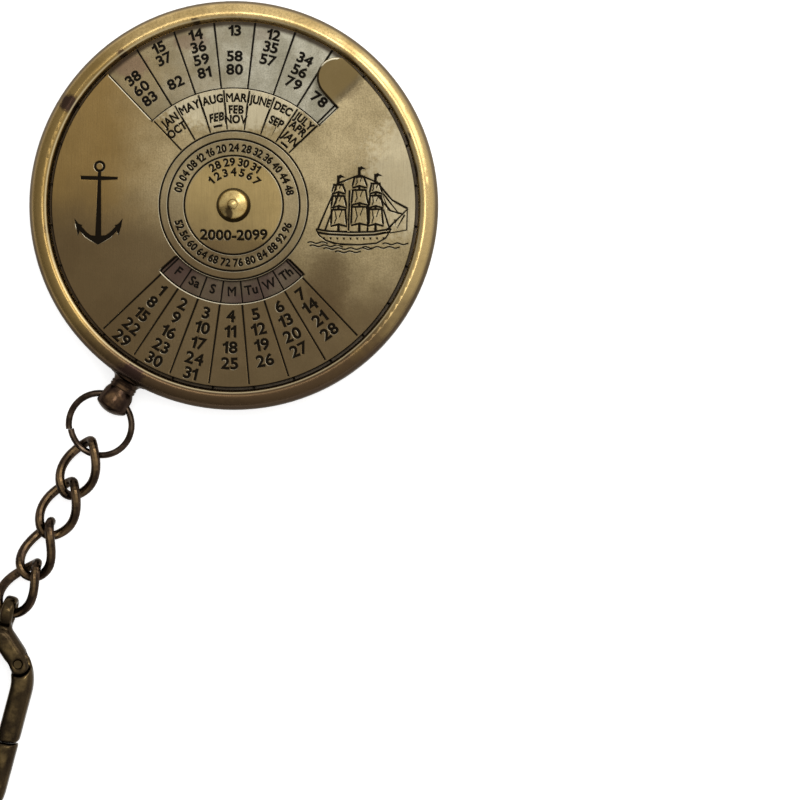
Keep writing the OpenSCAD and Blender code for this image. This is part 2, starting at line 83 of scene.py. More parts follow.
table_material, tree, out = blank_material("white_table")
grain = put(tree, "ShaderNodeTexNoise", {"Scale": 900.0, "Detail": 3.0})
paper = put(tree, "ShaderNodeMapRange", {0: grain.outputs[0], 3: 0.74, 4: 0.8})
matt = put(tree, "ShaderNodeBsdfDiffuse", {"Color": paper.outputs[0]})
rays = put(tree, "ShaderNodeLightPath")
seen = sum_of(tree, "MAXIMUM", rays.outputs["Is Camera Ray"], rays.outputs["Is Glossy Ray"])
seen = sum_of(tree, "MAXIMUM", seen, rays.outputs["Is Transmission Ray"])
white = put(tree, "ShaderNodeEmission", {"Strength": sum_of(tree, "MULTIPLY", seen, 0.7)})
both = put(tree, "ShaderNodeAddShader", {0: matt.outputs[0], 1: white.outputs[0]})
# Seen from below the table is clear, so that the back of the keyring can be looked at
clear = put(tree, "ShaderNodeBsdfTransparent")
from_below = put(tree, "ShaderNodeNewGeometry").outputs["Backfacing"]
shown = put(tree, "ShaderNodeMixShader", {0: from_below, 1: both.outputs[0], 2: clear.outputs[0]})
tree.links.new(shown.outputs[0], out.inputs[0])

table_reach = 3.0
corners = [(x * table_reach, y * table_reach, 0) for x, y in ((-1, -1), (1, -1), (1, 1), (-1, 1))]
table_mesh = bpy.data.meshes.new("table_top")
table_mesh.from_pydata(corners, [], [(0, 1, 2, 3)])
table_top = bpy.data.objects.new("table_top", table_mesh)
table_top.location.z = -0.05 * MM
table_top.data.materials.append(table_material)
bpy.context.scene.collection.objects.link(table_top)

room = bpy.data.worlds.new("room")
room.use_nodes = True
bpy.context.scene.world = room
tree = room.node_tree
tree.nodes.clear()
way = put(tree, "ShaderNodeTexCoord").outputs["Generated"]
side = measured_along(tree, way, (0.62, 0.48, 0.25))
level = put(tree, "ShaderNodeMapRange", {0: side, 1: -0.75, 2: 0.8, 3: 0.22, 4: 1.0}).outputs[0]
sky = put(tree, "ShaderNodeBackground", {"Color": (1.0, 0.985, 0.965, 1.0), "Strength": level})
tree.links.new(sky.outputs[0], put(tree, "ShaderNodeOutputWorld").inputs[0])


def soft_box(name, place, size, watts, colour):
    """A round studio lamp that is turned to the keyring."""
    data = bpy.data.lights.new(name, "AREA")
    data.shape, data.size, data.energy, data.color = "DISK", size, watts, colour
    box = bpy.data.objects.new(name, data)
    box.location = place
    keyring_middle = Vector((-0.003, -0.01, 0.0))
    box.rotation_euler = (keyring_middle - box.location).to_track_quat("-Z", "Y").to_euler()
    bpy.context.scene.collection.objects.link(box)


soft_box("soft_box_right", (0.26, 0.24, 0.36), 0.26, 0.5, (1.0, 0.97, 0.92))
soft_box("soft_box_top", (0.031, 0.078, 0.42), 0.15, 0.21, (1.0, 0.99, 0.97))

# The case is one turned brass pan with a heavy rounded rim, darkened all over and then polished back on
# the rim, where handling keeps it golden. Its side stays dark, and old stains sit in the rim's polish.
case_r, case_h, rim_inner_r = 25.6, 6.0, 23.2


def group(name, inputs, outputs):
    """A node group with named inputs and outputs, to be filled in."""
    tree = bpy.data.node_groups.new(name, "ShaderNodeTree")
    kinds = {"f": "NodeSocketFloat", "c": "NodeSocketColor", "v": "NodeSocketVector"}
    for socket, kind, default in inputs:
        made = tree.interface.new_socket(socket, in_out="INPUT", socket_type=kinds[kind])
        made.default_value = default
    for socket, kind in outputs:
        tree.interface.new_socket(socket, in_out="OUTPUT", socket_type=kinds[kind])
    return tree, put(tree, "NodeGroupInput").outputs, put(tree, "NodeGroupOutput").inputs


def mixed(tree, share, a, b):
    return put(tree, "ShaderNodeMix", {0: share, 6: a, 7: b}, data_type="RGBA").outputs[2]


def smooth(tree, value, low, high, a=0.0, b=1.0):
    """Runs from a to b, with soft ends, as the value runs from low to high."""
    values = {0: value, 1: low, 2: high, 3: a, 4: b}
    return put(tree, "ShaderNodeMapRange", values, interpolation_type="SMOOTHSTEP").outputs[0]


def noise(tree, place, scale, detail, roughness):
    values = {"Vector": place, "Scale": scale, "Detail": detail, "Roughness": roughness}
    return put(tree, "ShaderNodeTexNoise", values).outputs[0]


# Cloudy patches of tarnish: the mask is 1 inside a patch
patches, given, gives = group(
    "tarnish_patches",
    [("Place", "v", (0, 0, 0)), ("Scale", "f", 0.5), ("Coverage", "f", 0.4), ("Softness", "f", 0.1)],
    [("Mask", "f")],
)
cloud = noise(patches, given["Place"], given["Scale"], 6.0, 0.62)
line = sum_of(patches, "SUBTRACT", 0.75, sum_of(patches, "MULTIPLY", given["Coverage"], 0.5))
low = sum_of(patches, "SUBTRACT", line, given["Softness"])
high = sum_of(patches, "ADD", line, given["Softness"])
patches.links.new(smooth(patches, cloud, low, high), gives["Mask"])

# Rubbing marks that all run one way, from polishing and from the pocket
rubbing, given, gives = group(
    "rubbing_marks",
    [("Place", "v", (0, 0, 0)), ("Turn", "f", 0.0), ("Across", "f", 12.0), ("Along", "f", 0.6)],
    [("Lines", "f")],
)
rotation = {"Vector": given["Place"], "Angle": given["Turn"]}
turned = put(rubbing, "ShaderNodeVectorRotate", rotation, rotation_type="Z_AXIS").outputs[0]
spacing = put(rubbing, "ShaderNodeCombineXYZ", {0: given["Across"], 1: given["Along"], 2: given["Across"]})
stretched = put(rubbing, "ShaderNodeVectorMath", {0: turned, 1: spacing.outputs[0]}, operation="MULTIPLY")
rubbing.links.new(noise(rubbing, stretched.outputs[0], 1.0, 4.0, 0.7), gives["Lines"])

# One spot at a place on the metal, with a ragged edge: a stain, and also painted shade and highlight
spot_of_stain_and_light, given, gives = group(
    "spot_of_stain_and_painted_light",
    [("Place", "v", (0, 0, 0)), ("Centre", "v", (0, 0, 0)), ("Size", "v", (1, 1, 1)), ("Ragged", "f", 0.5)],
    [("Mask", "f")],
)
offset = put(spot_of_stain_and_light, "ShaderNodeVectorMath", {0: given["Place"], 1: given["Centre"]}, operation="SUBTRACT")
sized = put(spot_of_stain_and_light, "ShaderNodeVectorMath", {0: offset.outputs[0], 1: given["Size"]}, operation="DIVIDE")
reach = put(spot_of_stain_and_light, "ShaderNodeVectorMath", {0: sized.outputs[0]}, operation="LENGTH").outputs["Value"]
edge = noise(spot_of_stain_and_light, given["Place"], 1.6, 5.0, 0.65)
uneven = sum_of(spot_of_stain_and_light, "MULTIPLY", sum_of(spot_of_stain_and_light, "SUBTRACT", edge, 0.5), given["Ragged"])
spot_of_stain_and_light.links.new(smooth(spot_of_stain_and_light, sum_of(spot_of_stain_and_light, "ADD", reach, uneven), 1.0, 0.55), gives["Mask"])

# Brass that has been darkened and rubbed back: clouds of tarnish over the fresh metal, and fine grit in both
aged, given, gives = group(
    "aged_brass",
    [
        ("Place", "v", (0, 0, 0)),
        ("Fresh", "c", (0.5, 0.36, 0.15, 1)),
        ("Tarnish", "c", (0.25, 0.16, 0.07, 1)),
        ("Pits", "c", (0.05, 0.03, 0.015, 1)),
        ("Cloud Scale", "f", 0.35),
        ("Tarnished", "f", 0.4),
        ("Grit Scale", "f", 6.0),
        ("Pitted", "f", 0.1),
        ("Smooth Roughness", "f", 0.25),
        ("Dull Roughness", "f", 0.5),
    ],
    [("Color", "c"), ("Roughness", "f"), ("Height", "f")],
)
clouds = {"Scale": given["Cloud Scale"], "Coverage": given["Tarnished"], "Softness": 0.16}
veil = put(aged, "ShaderNodeGroup", {"Place": given["Place"], **clouds}, node_tree=patches).outputs[0]
grit = noise(aged, given["Place"], given["Grit Scale"], 5.0, 0.7)
specks = {"Scale": given["Grit Scale"], "Coverage": given["Pitted"], "Softness": 0.05}
pits = put(aged, "ShaderNodeGroup", {"Place": given["Place"], **specks}, node_tree=patches).outputs[0]
tone = mixed(aged, veil, given["Fresh"], given["Tarnish"])
shade = smooth(aged, grit, 0.25, 0.75, 0.72, 1.28)
speckled = put(aged, "ShaderNodeVectorMath", {0: tone, "Scale": shade}, operation="SCALE").outputs[0]
aged.links.new(mixed(aged, pits, speckled, given["Pits"]), gives["Color"])
share = sum_of(aged, "ADD", sum_of(aged, "MULTIPLY", veil, 0.6), sum_of(aged, "MULTIPLY", grit, 0.4))
share = sum_of(aged, "MAXIMUM", share, pits)
rough = put(aged, "ShaderNodeMapRange", {0: share, 3: given["Smooth Roughness"], 4: given["Dull Roughness"]})
aged.links.new(rough.outputs[0], gives["Roughness"])
aged.links.new(sum_of(aged, "SUBTRACT", grit, pits), gives["Height"])


def brass(name, **looks):
    """A brass material, its tree, the place on the piece in mm, its aged_brass group and its shader."""
    material, tree, out = blank_material(name)
    here = put(tree, "ShaderNodeTexCoord").outputs["Object"]
    place = put(tree, "ShaderNodeVectorMath", {0: here, "Scale": 1 / MM}, operation="SCALE").outputs[0]
    values = {socket.replace("_", " ").title(): value for socket, value in looks.items()}
    metal = put(tree, "ShaderNodeGroup", {"Place": place, **values}, node_tree=aged)
    shader = put(tree, "ShaderNodeBsdfPrincipled", {"Metallic": 1.0})
    tree.links.new(shader.outputs[0], out.inputs[0])
    return material, tree, place, metal, shader


def finished(tree, shader, colour, roughness, height, relief):
    """Joins the colour, roughness and height to the shader; relief is the depth of the bumps in mm."""
    bump = put(tree, "ShaderNodeBump", {"Strength": 1.0, "Distance": relief * MM, "Height": height})
    for socket, value in (("Base Color", colour), ("Roughness", roughness), ("Normal", bump.outputs[0])):
        tree.links.new(value, shader.inputs[socket])


def stained(tree, place, colour, dark, spots):
    """Lays spots over a colour, stains and painted shade and highlight, each a (x, y, size along x, size
    along y, strength), in mm.
    """
    through_the_piece = 40.0
    for x, y, wide, high, strength in spots:
        size = (wide, high, through_the_piece)
        values = {"Place": place, "Centre": (x, y, 0.0), "Size": size, "Ragged": 1.1}
        spot = put(tree, "ShaderNodeGroup", values, node_tree=spot_of_stain_and_light).outputs[0]
        colour = mixed(tree, sum_of(tree, "MULTIPLY", spot, strength), colour, dark)
    return colour


def out_from_axis(tree, place):
    """How far a place is from the axis that the plate turns on, in mm."""
    flat = put(tree, "ShaderNodeVectorMath", {0: place, 1: (1.0, 1.0, 0.0)}, operation="MULTIPLY").outputs[0]
    return put(tree, "ShaderNodeVectorMath", {0: flat}, operation="LENGTH").outputs["Value"]


def dress(node, material):
    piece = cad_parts[node]
    piece.data.materials.clear()
    piece.data.materials.append(material)


case_material, tree, place, metal, shader = brass(
    "case_brass",
    fresh=(0.74, 0.54, 0.24, 1), tarnish=(0.50, 0.35, 0.14, 1), pits=(0.10, 0.065, 0.03, 1),
    cloud_scale=0.16, tarnished=0.4, grit_scale=3.2, pitted=0.1, smooth_roughness=0.2, dull_roughness=0.36,
)
apart = put(tree, "ShaderNodeSeparateXYZ", {0: place})
across = out_from_axis(tree, place)
cloud_reach = 22.0
cloudy = sum_of(tree, "SUBTRACT", noise(tree, place, 0.13, 4.0, 0.6), 0.5)
cloudy = sum_of(tree, "MULTIPLY", cloudy, cloud_reach)
# Polished at the upper right, paler at the far right, and darker at the lower left with bronze and painted
# shade
towards_polish_and_light = sum_of(tree, "ADD", measured_along(tree, place, (0.62, 0.78, 0.0)), cloudy)
tarnish_and_painted_shade = smooth(tree, towards_polish_and_light, 17.0, 3.0, 0.0, 0.88)
colour = mixed(tree, tarnish_and_painted_shade, metal.outputs["Color"], (0.25, 0.16, 0.05, 1))
rightward = sum_of(tree, "ADD", apart.outputs[0], sum_of(tree, "MULTIPLY", cloudy, 0.5))
colour = mixed(tree, smooth(tree, rightward, 14.0, 22.0, 0.0, 0.7), colour, (0.47, 0.345, 0.15, 1))
bronze_and_painted_shade_below = sum_of(tree, "SUBTRACT", cloudy, apart.outputs[1])
colour = mixed(tree, smooth(tree, bronze_and_painted_shade_below, 11.0, 20.0, 0.0, 0.9), colour, (0.085, 0.052, 0.03, 1))
# Old stains in the rim's polish; the large dark one low at the left is painted shade where the pendant meets
# the rim
colour = stained(tree, place, colour, (0.05, 0.028, 0.022, 1), [
    (-20.4, 12.7, 1.5, 1.4, 0.95), (-13.9, 18.9, 0.8, 0.6, 0.8), (-4.7, 22.9, 0.7, 0.5, 0.8),
    (21.8, 8.3, 0.5, 0.9, 0.85), (22.8, 4.2, 0.45, 1.3, 0.8), (-13.0, -21.2, 2.6, 2.0, 0.95),
    (-23.3, -3.0, 0.6, 0.9, 0.4), (14.0, -18.7, 0.7, 0.6, 0.5),
])
ragged = sum_of(tree, "MULTIPLY", metal.outputs["Height"], 0.2)
outside = smooth(tree, sum_of(tree, "ADD", across, ragged), case_r - 0.7, case_r - 0.2)
below = sum_of(tree, "MULTIPLY", smooth(tree, apart.outputs[2], 4.4, 3.0), 0.9)
dark = sum_of(tree, "MAXIMUM", sum_of(tree, "MULTIPLY", outside, 0.92), below)
# The dark side is painted darker still towards the bottom, as shade
side_tone_and_painted_shade = mixed(tree, smooth(tree, bronze_and_painted_shade_below, -6.0, 14.0), (0.115, 0.088, 0.058, 1), (0.038, 0.026, 0.018, 1))
colour = mixed(tree, dark, colour, side_tone_and_painted_shade)
rough = sum_of(tree, "MAXIMUM", metal.outputs["Roughness"], sum_of(tree, "MULTIPLY", dark, 0.4))
# The dark side shines less at a low angle, and that starts on an even line, without the grit's ragged edge
even_side = sum_of(tree, "MULTIPLY", smooth(tree, across, case_r - 0.8, case_r - 0.3), 0.92)
low_shine = mixed(tree, sum_of(tree, "MAXIMUM", even_side, below), (1, 1, 1, 1), (0.55, 0.53, 0.5, 1))
tree.links.new(low_shine, shader.inputs["Specular Tint"])
# A bright line round the rim's inner edge: polish, and a painted highlight
inner_edge_polish_and_highlight = smooth(tree, across, rim_inner_r + 0.42, rim_inner_r + 0.25)
inner_edge_polish_and_highlight = sum_of(tree, "MULTIPLY", inner_edge_polish_and_highlight, smooth(tree, apart.outputs[2], case_h - 0.4, case_h - 0.25))
colour = mixed(tree, sum_of(tree, "MULTIPLY", inner_edge_polish_and_highlight, 0.75), colour, (0.72, 0.6, 0.36, 1))
# The rim's polish leans outwards a little, so that it catches the light further in
rim_lean, case_relief = -0.15, 0.006
leaning = sum_of(tree, "MULTIPLY", across, rim_lean / case_relief)
finished(tree, shader, colour, rough, sum_of(tree, "ADD", metal.outputs["Height"], leaning), case_relief)
dress("case", case_material)

# The year dial is a thin brass disc that lies in the case. Its years and the letters of the weekdays are
# etched and filled with black, in 28 columns, for the 28 years after which the calendar repeats.
dial_r, dial_low, dial_top = 23.15, 3.9, 4.4
column = 360 / 28
dial_turn = 0.2
letters_drawn = {}


def letter_shapes(text):
    """The width and outline loops of a figure or letter, 1 high, from the plain letters that Blender has."""
    known = letters_drawn
    if text == "1":
        flagged = [
            (0.23, 0), (0.38, 0), (0.38, 1), (0.27, 1), (0.21, 0.88), (0.11, 0.8), (0, 0.77), (0, 0.65),
            (0.12, 0.67), (0.23, 0.74),
        ]
        known[text] = (0.38, [[Vector((x - 0.19, y)) for x, y in flagged]])
    if text not in known:
        curve = bpy.data.curves.new("letter", "FONT")
        curve.body, curve.fill_mode, curve.resolution_u = text, "NONE", 3
        letter = bpy.data.objects.new("letter", curve)
        bpy.context.scene.collection.objects.link(letter)
        bpy.context.view_layer.update()
        mesh = letter.to_mesh()
        capital_height = 0.69
        points = [Vector((v.co.x, v.co.y)) / capital_height for v in mesh.vertices]
        next_to = {}
        for a, b in (e.vertices for e in mesh.edges):
            next_to.setdefault(a, []).append(b)
            next_to.setdefault(b, []).append(a)
        loops, left = [], set(next_to)
        while left:
            start = min(left)
            loop, before, now = [start], None, start
            while True:
                after = [n for n in next_to[now] if n != before]
                before, now = now, after[0]
                if now == start:
                    break
                loop.append(now)
            left -= set(loop)
            loops.append([points[n] for n in loop])
        letter.to_mesh_clear()
        bpy.data.objects.remove(letter)
        bpy.data.curves.remove(curve)
        low_x = min(p.x for loop in loops for p in loop)
        width = max(p.x for loop in loops for p in loop) - low_x
        known[text] = (width, [[Vector((p.x - low_x - width / 2, p.y)) for p in loop] for loop in loops])
    return known[text]


def turn_of(loop):
    """Twice the area of a loop, positive if it runs anticlockwise."""
    return sum(a.x * b.y - a.y * b.x for a, b in zip(loop, loop[1:] + loop[:1]))


def grown(loops, distance):
    """The loops of one figure with its strokes made bolder by the distance on each side."""
    if turn_of(max(loops, key=lambda loop: abs(turn_of(loop)))) < 0:
        loops = [loop[::-1] for loop in loops]
    result = []
    for loop in loops:
        fat = []
        for before, here, after in zip(loop[-1:] + loop[:-1], loop, loop[1:] + loop[:1]):
            a, b = (here - before).normalized(), (after - here).normalized()
            side = Vector((a.y + b.y, -a.x - b.x))
            side = side.normalized() if side.length > 1e-6 else Vector((a.y, -a.x))
            fat.append(here + side * distance / max(0.55, side.dot(Vector((a.y, -a.x)))))
        result.append(fat)
    return result


def clock_point(r, clock):
    """The point at a radius and a clock angle, which runs clockwise from the top."""
    return Vector((r * math.sin(math.radians(clock)), r * math.cos(math.radians(clock))))


def written(text, r, clock, height, bold=0.03, inward=False, wide=1.0, gap=0.16, lean=0.0):
    """Letters along an arc, each one a figure of its own. Inward letters have their heads towards the hub."""
    space = 0.34
    widths, figures = [], []
    for c in text:
        widths.append((space if c == " " else letter_shapes(c)[0] * wide + gap) * height)
    x = -(sum(widths) - gap * height) / 2
    for c, w in zip(text, widths):
        middle = x + (w - gap * height) / 2
        x += w
        if c == " ":
            continue
        turn = math.degrees(middle / r)
        at = clock + (-turn if inward else turn)
        angle = math.radians((180 - at) if inward else -at)
        sine, cosine = math.sin(angle), math.cos(angle)
        foot = clock_point(r + (height / 2 if inward else -height / 2), at)
        loops = []
        for loop in letter_shapes(c)[1]:
            moved = []
            for p in loop:
                px, py = (p.x * wide + p.y * lean) * height, p.y * height
                moved.append(foot + Vector((px * cosine - py * sine, px * sine + py * cosine)))
            loops.append(moved)
        figures.append(grown(loops, bold))
    return figures


def stroke(points, width, end_width=None):
    """A cut line through the points, as one closed loop."""
    points = [Vector(p) for p in points]
    end_width = width if end_width is None else end_width
    left, right = [], []
    for i, p in enumerate(points):
        a = points[max(i - 1, 0)]
        b = points[min(i + 1, len(points) - 1)]
        side = Vector((a.y - b.y, b.x - a.x)).normalized()
        half = (width + (end_width - width) * i / (len(points) - 1)) / 2
        left.append(p + side * half)
        right.append(p - side * half)
    return [left + right[::-1]]


def arc(r, start, end, width, step=2.0):
    """A cut line along an arc, between two clock angles."""
    count = max(2, round(abs(end - start) / step))
    return stroke([clock_point(r, start + (end - start) * i / count) for i in range(count + 1)], width)


def circle_line(r, width, count=150):
    """A cut line all the way round: two loops, of which the inner one is the metal left standing."""
    return [[clock_point(r + side * width / 2, -360 * i / count) for i in range(count)] for side in (1, -1)]


def within(loops, spots):
    """Which of the spots lie inside an odd number of the loops."""
    inside = np.zeros(len(spots), bool)
    for loop in loops:
        a = np.array([tuple(p) for p in loop])
        b = np.roll(a, -1, 0)
        near = np.flatnonzero(((spots >= a.min(0)) & (spots <= a.max(0))).all(1))
        x, y = spots[near, :1], spots[near, 1:]
        rise = np.where(a[:, 1] == b[:, 1], 1.0, b[:, 1] - a[:, 1])
        crossed = a[:, 0] + (y - a[:, 1]) * (b[:, 0] - a[:, 0]) / rise
        inside[near] ^= (((a[:, 1] > y) != (b[:, 1] > y)) & (x < crossed)).sum(1) % 2 == 1
    return inside


def etched_sheet(name, outline, holes, figures, top, low, depth, lip, edge, folds=(), rise=None, droop=None):
    """A sheet of metal with etched figures. Outline, holes and figures are loops in mm, and folds are lines
    that the sheet's surface is divided along. Depth and lip are those of the etched lines, edge gives the
    width of the rounded edge at a place, and rise and droop how far its two faces are bent up there."""
    slope = 0.03
    # How far in and down each step of the rounded edge lies, as shares of its width
    edge_steps = {"rim0": (0, 0.98), "rim1": (0.15, 0.72), "rim2": (0.5, 0.36)}
    points, edges = [], []
    for loop in [outline] + holes + [loop for figure in figures for loop in figure]:
        first = len(points)
        points += loop
        edges += [(first + i, first + (i + 1) % len(loop)) for i in range(len(loop))]
    for a, b in folds:
        edges.append((len(points), len(points) + 1))
        points += [Vector(a), Vector(b)]
    flat, _, triangles, _, _, _ = geometry.delaunay_2d_cdt(points, edges, [], 0, 1e-5, False)
    middles = np.array([sum((flat[c] for c in corners), Vector((0, 0))) / 3 for corners in triangles])
    solid = within([outline], middles) & ~within(holes, middles)
    cut = np.zeros(len(triangles), bool)
    for figure in figures:
        cut |= within(figure, middles)
    state = [int(s) + int(s and c) for s, c in zip(solid, cut)]
    owner = {}
    for corners, s in zip(triangles, state):
        for a, b in zip(corners, corners[1:] + corners[:1]):
            owner[a, b] = s
    inset, groove, rims, walls = {}, {}, [], []
    for (a, b), s in owner.items():
        other = owner.get((b, a), 0)
        at_rim, at_wall = s and not other, s == 2 and other != 2
        if at_rim:
            rims.append((a, b))
        if at_wall:
            walls.append((a, b))
        for here, pushed in ((at_rim, inset), (at_wall, groove)):
            if here:
                way = (flat[b] - flat[a]).normalized()
                for corner in (a, b):
                    pushed.setdefault(corner, []).append(Vector((-way.y, way.x)))

    def moved(corner, pushes, distance):
        if corner not in pushes:
            return flat[corner]
        side = sum(pushes[corner], Vector((0, 0)))
        side = side.normalized() if side.length > 1e-6 else pushes[corner][0]
        return flat[corner] + side * distance / max(0.6, side.dot(pushes[corner][0]))

    verts, index = [], {}

    def vert(corner, level):
        if (corner, level) not in index:
            back, drop = edge_steps.get(level, (1, 0))
            wide = edge(flat[corner])
            p = moved(corner, inset, wide * back)
            if level == "floor":
                p = moved(corner, groove, slope)
            if level == "top" and corner in groove:
                p = moved(corner, groove, -lip)
            z = top + (rise(flat[corner]) if rise else 0.0) - wide * drop
            if level == "floor":
                z -= depth
            if level == "lip":
                z -= lip * 0.6
            if level == "low":
                p, z = flat[corner], low + (droop(flat[corner]) if droop else 0.0)
            index[corner, level] = len(verts)
            verts.append((p.x * MM, p.y * MM, z * MM))
        return index[corner, level]

    made = []
    for corners, s in zip(triangles, state):
        if s:
            made.append([vert(c, "floor" if s == 2 else "top") for c in corners])
            made.append([vert(c, "low") for c in corners[::-1]])
    for upper, lower in (("top", "lip"), ("lip", "floor")):
        made += [[vert(a, upper), vert(b, upper), vert(b, lower), vert(a, lower)] for a, b in walls]
    for lower, upper in (("low", "rim0"), ("rim0", "rim1"), ("rim1", "rim2"), ("rim2", "top")):
        made += [[vert(a, lower), vert(b, lower), vert(b, upper), vert(a, upper)] for a, b in rims]
    mesh = bpy.data.meshes.new(name)
    mesh.from_pydata(verts, [], made)
    mesh.update()
    mesh.shade_smooth()
    kept_sharp = {frozenset((index[a, u], index[b, u])) for a, b in walls for u in ("top", "lip", "floor")}
    kept_sharp |= {frozenset((index[a, u], index[b, u])) for a, b in rims for u in ("top", "low")}
    for line in mesh.edges:
        line.use_edge_sharp = frozenset(line.vertices) in kept_sharp
    for face in mesh.polygons:
        if abs(face.normal.z) > 0.9999:
            face.use_smooth = False
    sheet = bpy.data.objects.new(name, mesh)
    bpy.context.scene.collection.objects.link(sheet)
    return sheet


dial_lines = 0.22
day_turn = 1.5
figures = []
for i in range(28):
    clock = dial_turn + (i + 0.5) * column
    figures.append(stroke([clock_point(14.2, clock), clock_point(dial_r - 0.12, clock)], dial_lines))
    day_clock = clock + day_turn - dial_turn
    figures.append(stroke([clock_point(9.3, day_clock), clock_point(12.6, day_clock)], 0.17))
    day = ["M", "S", "Sa", "F", "Th", "W", "Tu"][i % 7]
    letter_clock = 180 + day_turn + i * column
    figures += written(day, 10.75, letter_clock, 1.12, inward=True, bold=0.03, gap=0.1, wide=0.95)
# Each year stands one column on from the year before, and a leap year two
year_rows = (21.95, 20.38, 18.75, 17.08, 15.5)
for year in range(2000, 2100):
    leaps = year // 4 - 2012 // 4
    count = year - 2012 + leaps
    row = (count + 15) // 28
    clock = dial_turn - (count - 1) * column
    figures += written(f"{year % 100:02d}", year_rows[row], clock, 1.24, bold=0.055, wide=1.16, gap=0.14)
figures.append(circle_line(13.9, 0.12))
dial_outline = [clock_point(dial_r, -360 * i / 220) for i in range(220)]
hub_hole = [clock_point(1.62, -360 * i / 40) for i in range(40)]
year_dial = etched_sheet(
    "etched_year_dial", dial_outline, [hub_hole], figures, dial_top, dial_low,
    depth=0.12, lip=0.05, edge=lambda p: 0.06,
)

# The etched lines of a sheet: the mask is 1 down in them, where the black is, and 0 on the sheet's face
etching, given, gives = group(
    "etched_lines",
    [("Place", "v", (0, 0, 0)), ("Face Height", "f", 4.4)],
    [("Mask", "f")],
)
height_up = put(etching, "ShaderNodeSeparateXYZ", {0: given["Place"]}).outputs[2]
shallow = sum_of(etching, "SUBTRACT", given["Face Height"], 0.05)
deep = sum_of(etching, "SUBTRACT", given["Face Height"], 0.09)
etching.links.new(smooth(etching, height_up, shallow, deep), gives["Mask"])

# The rounded edges of sheets and etched lines: rubbed and painted bright facing the light, painted shade
# facing away
edge_wear_and_light_group, given, gives = group(
    "sheet_edge_wear_and_painted_light",
    [("Normal", "v", (0, 0, 1))],
    [("Wear And Painted Highlight", "f"), ("Painted Shade", "f")],
)
facing = put(edge_wear_and_light_group, "ShaderNodeSeparateXYZ", {0: given["Normal"]}).outputs[2]
edges = smooth(edge_wear_and_light_group, facing, 0.9, 0.8)
edges = sum_of(edge_wear_and_light_group, "MULTIPLY", edges, smooth(edge_wear_and_light_group, facing, 0.3, 0.45))
towards = measured_along(edge_wear_and_light_group, given["Normal"], (0.5, 0.86, 0.0))
bright = smooth(edge_wear_and_light_group, towards, -0.15, 0.12)
dull = sum_of(edge_wear_and_light_group, "SUBTRACT", 1.0, bright)
edge_wear_and_light_group.links.new(sum_of(edge_wear_and_light_group, "MULTIPLY", edges, bright), gives["Wear And Painted Highlight"])
edge_wear_and_light_group.links.new(sum_of(edge_wear_and_light_group, "MULTIPLY", edges, dull), gives["Painted Shade"])


def edge_wear(tree):
    normal = put(tree, "ShaderNodeTexCoord").outputs["Normal"]
    return put(tree, "ShaderNodeGroup", {"Normal": normal}, node_tree=edge_wear_and_light_group).outputs


dial_material, tree, place, metal, shader = brass(
    "etched_dial_brass",
    fresh=(0.30, 0.285, 0.225, 1), tarnish=(0.245, 0.228, 0.165, 1), pits=(0.10, 0.08, 0.05, 1),
    cloud_scale=0.22, tarnished=0.5, grit_scale=4.5, pitted=0.2, smooth_roughness=0.32, dull_roughness=0.5,
)


def brushed(tree, place, turn, across, along):
    values = {"Place": place, "Turn": turn, "Across": across, "Along": along}
    return put(tree, "ShaderNodeGroup", values, node_tree=rubbing).outputs["Lines"]


marks = brushed(tree, place, 0.12, 9.0, 0.5)
colour = mixed(tree, smooth(tree, marks, 0.35, 0.7, 0.0, 0.2), metal.outputs["Color"], (0.2, 0.17, 0.12, 1))
apart = put(tree, "ShaderNodeSeparateXYZ", {0: place})
across = out_from_axis(tree, place)
# Browner and darker towards the left: tarnish, and painted shade on the side away from the light
cloudy = sum_of(tree, "SUBTRACT", noise(tree, place, 0.2, 5.0, 0.6), 0.5)
sideways = sum_of(tree, "ADD", apart.outputs[0], sum_of(tree, "MULTIPLY", cloudy, 12.0))
colour = mixed(tree, smooth(tree, sideways, 4.0, -13.0, 0.0, 0.9), colour, (0.20, 0.15, 0.072, 1))
colour = stained(tree, place, colour, (0.13, 0.068, 0.055, 1), [
    (-13.0, 17.5, 3.0, 1.8, 0.45), (-15.5, 13.5, 2.2, 2.6, 0.3), (-5.5, 20.5, 3.0, 1.2, 0.35),
    (3.5, 21.5, 2.0, 0.9, 0.2),
])
# Under the weekdays' slot the dial is painted dark, as the shade in that recess
slot_floor_painted_shade = mixed(tree, smooth(tree, cloudy, -0.15, 0.2), (0.078, 0.058, 0.036, 1), (0.058, 0.034, 0.028, 1))
colour = mixed(tree, smooth(tree, across, 13.4, 12.9, 0.0, 0.93), colour, slot_floor_painted_shade)
# Near the rim the dial is painted near black, as the shadow in the gap under it
colour = mixed(tree, smooth(tree, across, 22.3, 22.8, 0.0, 0.9), colour, (0.03, 0.02, 0.013, 1))
# Edges that face the light are painted bright: rubbed metal, and a painted highlight
wear_and_painted_highlight = sum_of(tree, "MULTIPLY", edge_wear(tree)["Wear And Painted Highlight"], smooth(tree, across, 13.4, 14.0))
colour = mixed(tree, sum_of(tree, "MULTIPLY", wear_and_painted_highlight, 0.8), colour, (0.8, 0.72, 0.55, 1))
etched = {"Place": place, "Face Height": dial_top}
filled = put(tree, "ShaderNodeGroup", etched, node_tree=etching).outputs[0]
colour = mixed(tree, filled, colour, (0.012, 0.010, 0.008, 1))
rough = sum_of(tree, "MAXIMUM", metal.outputs["Roughness"], sum_of(tree, "MULTIPLY", filled, 0.6))
height = sum_of(tree, "ADD", metal.outputs["Height"], sum_of(tree, "MULTIPLY", marks, 0.8))
finished(tree, shader, colour, rough, height, 0.008)
year_dial.data.materials.append(dial_material)
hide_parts("year_dial")
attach(year_dial, "case")

